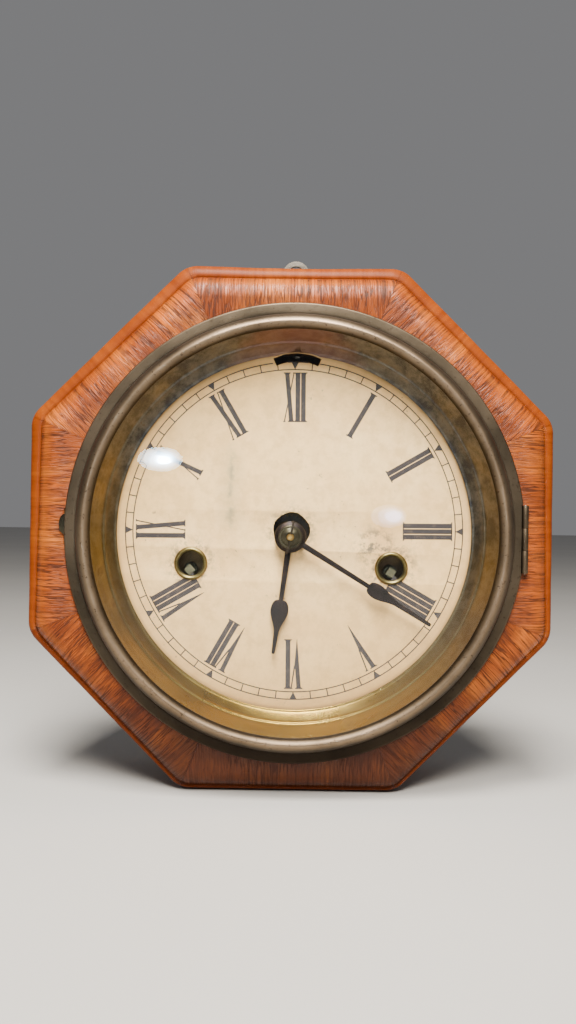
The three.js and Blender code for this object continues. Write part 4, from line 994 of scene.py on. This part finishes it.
def make_bezel():
    """The rolled bezel ring with its notches for the hinge and catch, the glass and its keeper."""
    front = span("bezel_ring")[3]
    outside = [
        (BEZEL_RADIUS, 70.1), (BEZEL_RADIUS, 71.6), (BEZEL_RADIUS - 0.5, 72.1), (97.4, 72.3),
        (96.0, 72.2), (95.45, 72.9), (95.5, 75.0), (95.2, 77.8), (94.4, 80.2), (93.1, 82.0),
        (91.4, front), (89.9, front - 0.45), (88.8, front - 1.7), (88.3, front - 2.7),
    ]
    inside = [
        (89.3, 80.3), (90.2, 80.9), (92.4, 81.0), (93.4, 79.6), (94.4, 76.5), (94.6, 71.2),
        (BEZEL_RADIUS - 0.9, 71.2), (BEZEL_RADIUS - 0.9, 70.1),
    ]
    profile = filleted(outside, 0.9, 3, closed=False) + filleted(inside, 0.3, 2, closed=False)
    ring = revolve("brass_bezel", profile, BEZEL, 256, 50)
    hinge_low, hinge_high = span("hinge_leaf_case")[4:6]
    for left, top in ((HINGE_X - 1.9, 75), (span("hinge_leaf_bezel")[0] - 0.2, 71.1)):
        cut_box(ring, (left, 69, hinge_low - 0.3), (HINGE_X + 3, top, hinge_high + 0.3))
    tab = span("catch_tab")
    cut_box(ring, (tab[0] - 1, 69, tab[4] - 0.5), (-98.2, 71.1, tab[5] + 0.5))
    shade(ring.data, 50)

    def wear_and_painted_light_of(radius, depth, angle):
        crown = max(0.0, 1 - abs(radius - 91.3) / 2.6) if depth > 79 else 0.0
        rim = 0.35 if radius > BEZEL_RADIUS - 0.7 else 0.0
        quirk = max(0.0, 1 - abs(radius - 95.9) / 1.1) if depth < 74.5 else 0.0
        lip = max(0.0, (89.3 - radius) / 1.0) if depth < front - 1.2 else 0.0
        flange = 0.3 if depth < 73 else 0.12
        # Painted shade along the bottom of the bezel, deepest on the flange.
        painted_shade_below = max(0.0, -math.cos(angle)) ** 2 * (0.7 if depth < 73 else 0.25)
        return (max(crown, rim), min(1.0, max(quirk, lip) + (flange + painted_shade_below) * (1 - crown)))

    ring_wear_and_painted_light(ring, BEZEL, wear_and_painted_light_of)
    finish_piece(ring, "bezel", PATINA, "aged_brass", "bezel_ring")

    radius, back, glass_front = round_span("glass")
    profile = [(0, back), (radius, back), (radius, glass_front), (0, glass_front)]
    pane = revolve("glass_pane", profile, BEZEL, 160, 30)
    finish_piece(pane, "bezel", GLASS, "glass", "glass")

    outer, back, keep_front = round_span("glass_retainer")
    profile = [(88.8, back), (outer, back), (outer, keep_front), (88.8, keep_front)]
    keeper = revolve("glass_keeper", filleted(profile, 0.3, 3), BEZEL, 192, 50)
    # The whole keeper is darkened as if deep in a corner: dark patina, and painted shade of the gap
    # between the glass and the bezel.
    ring_wear_and_painted_light(keeper, BEZEL, lambda radius, depth, angle: (0.0, 0.7))
    finish_piece(keeper, "bezel", PATINA, "aged_brass", "glass_retainer")


def make_screw(name, at, depth, radius):
    """A slotted countersunk head that stands just proud of the back and faces the wall."""
    turn = DRAW.uniform(0, math.pi)
    shape = ((0, -0.5), (0.5, -0.5), (1, 0), (0.96, 0.1), (0.7, 0.22), (0.35, 0.29), (0, 0.31))
    head = revolve(name, [(radius * r, radius * d) for r, d in shape], (0, 0), 40, 40)
    cut_box(head, (-radius * 1.2, radius * 0.11, -radius * 0.1), (radius * 1.2, radius, radius * 0.1))
    spin = Matrix.Rotation(math.pi, 4, "Z") @ Matrix.Rotation(turn, 4, "Y")
    head.data.transform(Matrix.Translation((at[0] * MM, -depth * MM, at[1] * MM)) @ spin)
    shade(head.data, 40)
    finish_piece(head, "case", STEEL, "steel")


def leaf_plate(name, node, back, thick, bevel):
    """A hinge leaf, from its node's inner edge to just inside the barrel."""
    x0, _, _, _, z0, z1 = span(node)
    x1 = HINGE_X - 0.9
    return plate(name, [[(x0, z0), (x1, z0), (x1, z1), (x0, z1)]], back, thick, bevel)


def hinge_side(name, pieces, body, node):
    side = joined(name, pieces)
    set_vector_attribute(side, "wear_and_painted_light", [(0.25, 0.3, 0)] * len(side.data.vertices))
    finish_piece(side, body, PATINA, "brass", node)


def make_hinge():
    """Two leaves with three barrels on one pin."""
    low, high = span("hinge_leaf_case")[4:6]
    third = (high - low) / 3

    def barrel(name, z0, z1):
        end = [(1.25, 0), (1.425, 0.075), (1.5, 0.25)]
        profile = end + [(radius, z1 - z0 - step) for radius, step in reversed(end)]
        return turned_bar(name, profile, (0, 0, 1), (HINGE_X, -HINGE_DEPTH, z0), 40)

    leaf = leaf_plate("leaf_case", "hinge_leaf_case", span("hinge_leaf_case")[2], 0.8, 0.15)
    lugs = [barrel("lug_low", low, low + third - 0.05), barrel("lug_high", high - third + 0.05, high)]
    hinge_side("hinge_case_side", [leaf, *lugs], "case", "hinge_leaf_case")
    leaf = leaf_plate("leaf_bezel", "hinge_leaf_bezel", 70.2, 0.7, 0.12)
    lug = barrel("lug_middle", low + third + 0.1, high - third - 0.1)
    hinge_side("hinge_bezel_side", [leaf, lug], "bezel", "hinge_leaf_bezel")

    pin_low, pin_high = span("hinge_pin")[4:6]
    length = pin_high - pin_low
    profile = [(0.45, 0), (0.55, 0.15), (0.55, length - 0.15), (0.45, length)]
    pin = turned_bar("hinge_wire", profile, (0, 0, 1), (HINGE_X, -HINGE_DEPTH, pin_low), 24)
    finish_piece(pin, "case", STEEL, "steel", "hinge_pin")


def make_catch():
    """The bezel's thumb tab, and the spring leaf in the case that it snaps past."""
    _, x1, back, front, z0, z1 = span("catch_tab")
    outline = [(x1, z0), (-99.4, z0)]
    for i in range(13):
        angle = math.radians(-90 - 180 * i / 12)
        outline.append((-99.4 + 2.9 * math.cos(angle), 0.3 + 4.6 * math.sin(angle)))
    outline += [(x1, z1)]
    tab = plate("thumb_tab", [filleted(outline, 0.4, 2)], back, front - back, 0.2)
    finish_piece(tab, "bezel", WASHER_BRASS, "aged_brass", "catch_tab")
    x0, x1, back, front, z0, z1 = span("catch_keeper")
    outline = filleted([(x0, z0), (x1, z0), (x1, z1), (x0, z1)], 0.8, 3)
    spring = plate("keeper_leaf", [outline], back, front - back, 0.12)
    finish_piece(spring, "case", BRASS, "brass", "catch_keeper")


# ------------------------------------------------------------------ hands

def hand_outline(length, shaft, swell_from, swell_at, swell_to, swell, neck, tip, root):
    """Half of a hand pointing up, mirrored: a slim shaft, a drop-shaped swelling, a fine tip."""
    right = [(shaft, root), (shaft * 0.78, swell_from)]
    for i in range(1, 15):
        angle = math.pi / 2 * i / 14
        across = shaft * 0.78 + (swell - shaft * 0.78) * math.sin(angle) ** 0.8
        right.append((across, swell_from + (swell_at - swell_from) * (1 - math.cos(angle))))
    for i in range(1, 21):
        t = i / 20
        fall = 0.5 + 0.5 * math.cos(math.pi * t ** 0.92)
        right.append((neck + (swell - neck) * fall, swell_at + (swell_to - swell_at) * t))
    right += [(tip, length - 0.5), (tip * 0.55, length)]
    return right + [(-x, z) for x, z in reversed(right)]


def swing(obj, clock_degrees):
    """Turns a piece made at twelve about the hands' axis, and moves it there."""
    turn = Matrix.Rotation(math.radians(clock_degrees), 4, "Y")
    obj.data.transform(Matrix.Translation((HANDS[0] * MM, 0, HANDS[1] * MM)) @ turn)


def make_hand(node, body, outline, lift, boss_shape, boss_round, segments, clock_degrees):
    """A hand with its boss, made at twelve and turned to the time that it shows."""
    blade = plate("blade", [outline], span(node)[2] + lift, 0.8, 0.25, 2)
    boss = revolve("boss", filleted(boss_shape, boss_round, 3), (0, 0), segments, 50)
    hand = joined("blued_" + node, [blade, boss])
    shade(hand.data, 40)
    swing(hand, clock_degrees)
    finish_piece(hand, body, BLUED, "blued_steel", node)


def make_hands():
    """Both hands, the domed washer over them and the tapered pin across it."""
    back, front = span("hour_hand")[2:4]
    outline = hand_outline(52.7, 1.35, 28.5, 33.4, 43.6, 4.0, 1.1, 0.75, 6.2)
    boss = [(4.0, back), (6.8, back), (6.8, back + 0.7), (5.6, front), (4.0, front)]
    make_hand("hour_hand", "hour_pipe", outline, 0, boss, 0.25, 64, HOUR_ANGLE)

    back, front = span("minute_hand")[2:4]
    outline = hand_outline(73.6, 1.3, 41, 45.4, 56.3, 3.4, 1.15, 0.8, 6.2)
    boss = [
        (2.7, back), (7.0, back), (7.05, back + 0.5), (6.7, back + 1.1), (5.3, front - 0.1), (4.4, front),
        (2.7, front),
    ]
    make_hand("minute_hand", "minute_arbor", outline, 0.4, boss, 0.3, 72, MINUTE_ANGLE)

    outer, back, front = round_span("hand_washer")
    dome = [
        (1.65, back), (outer - 0.1, back), (outer, back + 0.3), (outer - 0.5, back + 0.75),
        (outer - 1.15, back + 0.6), (outer - 1.5, back + 0.95), (outer - 2.4, front - 0.3),
        (2.2, front), (1.65, front),
    ]
    washer = revolve("domed_washer", filleted(dome, 0.3, 3), HANDS, 72, 50)
    finish_piece(washer, "minute_arbor", WASHER_BRASS, "brass", "hand_washer")

    lean = math.radians(PIN_LEAN)
    direction = Vector((math.sin(lean), 0, math.cos(lean)))
    depth = sum(span("taper_pin")[2:4]) / 2
    start = Vector((HANDS[0], -depth, HANDS[1])) - direction * 7.45
    profile = [(0.26, 0), (0.36, 0.25), (0.5, 14.7), (0.42, 14.9)]
    pin = turned_bar("tapered_pin", profile, direction, start, 24)
    finish_piece(pin, "minute_arbor", BLACKENED, "steel", "taper_pin")


# ------------------------------------------------------------------ hanger and back

def make_hanger():
    """The iron loop with its eye above the case, and its two screws."""
    x0, x1, back, front, z0, z1 = span("hanger_plate")
    centre, half = (x0 + x1) / 2, (x1 - x0) / 2
    eye = z1 - half
    foot = [(centre - half, z0 + 5), (centre - half, z0), (centre + half, z0), (centre + half, z0 + 5)]
    outline = arc((centre, eye), half, 0, 180, 32) + filleted(foot, 1, 3, closed=False)
    hole = ring_points((centre, eye + 0.4), HANGER_HOLE_RADIUS, 36)
    loop = plate("hanging_loop", [outline, hole], back, front - back, 0.3, 3)
    finish_piece(loop, "case", ZINC, "hanger_zinc", "hanger_plate")
    for across, up in ((1.8, 2.6), (-1.8, 7.2)):
        make_screw(f"loop_screw_{up:.0f}", (centre + across, z0 + up), back + 0.05, 1.7)


def make_back():
    """The screws that hold the back board on."""
    for k in range(SIDES):
        angle = math.radians(22.5 + 45 * k)
        at = (SCREW_CIRCLE * math.cos(angle), SCREW_CIRCLE * math.sin(angle))
        make_screw(f"back_screw_{k}", at, 0.55, 2.4)


# ------------------------------------------------------------------ carried-over CAD pieces

def dress_cad_nodes():
    """Better materials and eased edges for the CAD nodes that keep their own shape."""
    by_slot = {
        "wood_plain": BACK_WOOD, "brass": BRASS, "steel": STEEL, "blued_steel": BLUED,
        "bell_metal": BELL_METAL,
    }
    eased = {
        "back_board": 0.6, "dial_board": 0.3, "plate_front": 0.2, "plate_back": 0.2,
        "bell": 0.2, "hammer": 0.15,
    }
    # The regulator and the hour wheel are blackened: painted shade, so that the slot and the centre hole
    # show dark.
    own = {
        "plate_front": DARK_BRASS, "plate_back": DARK_BRASS, "regulator": BLACKENED,
        "hour_wheel": BLACKENED, "minute_wheel": DARK_BRASS, "dial_board": PLAIN_WOOD,
        "time_winding_arbor": DULL_STEEL, "strike_winding_arbor": DULL_STEEL,
    }
    slots = {part["node"]: part["material_slot"] for part in frame["record"]["subparts"]}
    for name, obj in frame["nodes"].items():
        if obj.hide_render:
            continue
        dress(obj, own.get(name) or by_slot[slots[name]])
        bevel = obj.modifiers.new("eased", "BEVEL")
        bevel.width = eased.get(name, 0.08) * MM
        bevel.segments = 2
        bevel.limit_method = "ANGLE"
        bevel.angle_limit = math.radians(40)


# ------------------------------------------------------------------ stage, lights and camera

def make_stage():
    mesh = bpy.data.meshes.new("floor")
    bm = bmesh.new()
    bmesh.ops.create_grid(bm, x_segments=1, y_segments=1, size=6)
    bm.to_mesh(mesh)
    bm.free()
    floor = new_object("floor", mesh)
    floor.location.z = CAD_BOUNDS[0].z - 0.0005
    s = Shader("pale_floor", Roughness=0.8)
    s.colour = s.ramp(s.noise(s.place(), 3, 3, 0.5), (0.3, (172, 170, 166)), (0.7, (179, 177, 173)))
    dress(floor, s.done())

    world = bpy.data.worlds.new("studio")
    bpy.context.scene.world = world
    world.use_nodes = True
    background = world.node_tree.nodes["Background"].inputs
    background["Color"].default_value = (0.84, 0.84, 0.86, 1)
    background["Strength"].default_value = 0.24


def add_light(name, power, width, height, place, target, colour, window=False):
    """An area light aimed at a point; a window is a small oval one with a narrower beam."""
    data = bpy.data.lights.new(name, "AREA")
    data.energy = power
    data.shape = "ELLIPSE" if window else "RECTANGLE"
    data.size, data.size_y = width, height
    data.color = colour
    data.spread = math.radians(60 if window else 180)
    light = new_object(name, data)
    light.location = place
    light.rotation_euler = (Vector(target) - Vector(place)).to_track_quat("-Z", "Y").to_euler()


def make_lights():
    """Two soft lights from above, and small bluish ones that stand for the windows that the
    glass reflects: ovals one behind the other, so that each reflection has soft edges."""
    warm, sky, dusk = (1.0, 0.94, 0.86), (0.56, 0.78, 1.0), (0.55, 0.62, 1.0)
    add_light("key", 21.5, 0.3, 0.3, (-0.05, -0.42, 0.78), (0, -0.06, 0), warm)
    add_light("front", 42.0, 0.5, 0.5, (0.06, -1.05, 0.98), (0, -0.06, 0), warm)
    left, right = (-0.05, -0.06, 0.02), (0.04, -0.06, 0.0)
    for step in range(4):
        width = 0.064 - 0.012 * step
        place = (-0.186 + 0.002 * step, -1.08 + 0.004 * step, 0.08)
        add_light(f"window_{step}", 0.02, width, width * 0.55, place, left, sky, True)
    add_light("window_core", 0.045, 0.018, 0.012, (-0.178, -1.06, 0.078), left, sky, True)
    for step in range(3):
        width = 0.05 - 0.013 * step
        place = (0.143 + 0.003 * step, -1.08 + 0.004 * step, 0.003)
        add_light(f"window_far_{step}", 0.005, width, width * 0.65, place, right, dusk, True)


def make_camera():
    """Straight on, a little above the middle; 35 mm lens, turned slightly as the view is."""
    data = bpy.data.cameras.new("camera")
    data.lens = 35
    data.sensor_width = 36
    camera = new_object("camera", data)
    camera.location = (-1.45 * MM, -508.6 * MM, 7.0 * MM)
    camera.rotation_euler = (math.pi / 2, math.radians(-0.85), 0)
    bpy.context.scene.camera = camera


for make in (
    make_camera, make_frame, make_box, make_dial, make_pan, make_grommets, make_bezel, make_hinge,
    make_catch, make_hands, make_hanger, make_back, dress_cad_nodes, make_stage, make_lights,
):
    make()
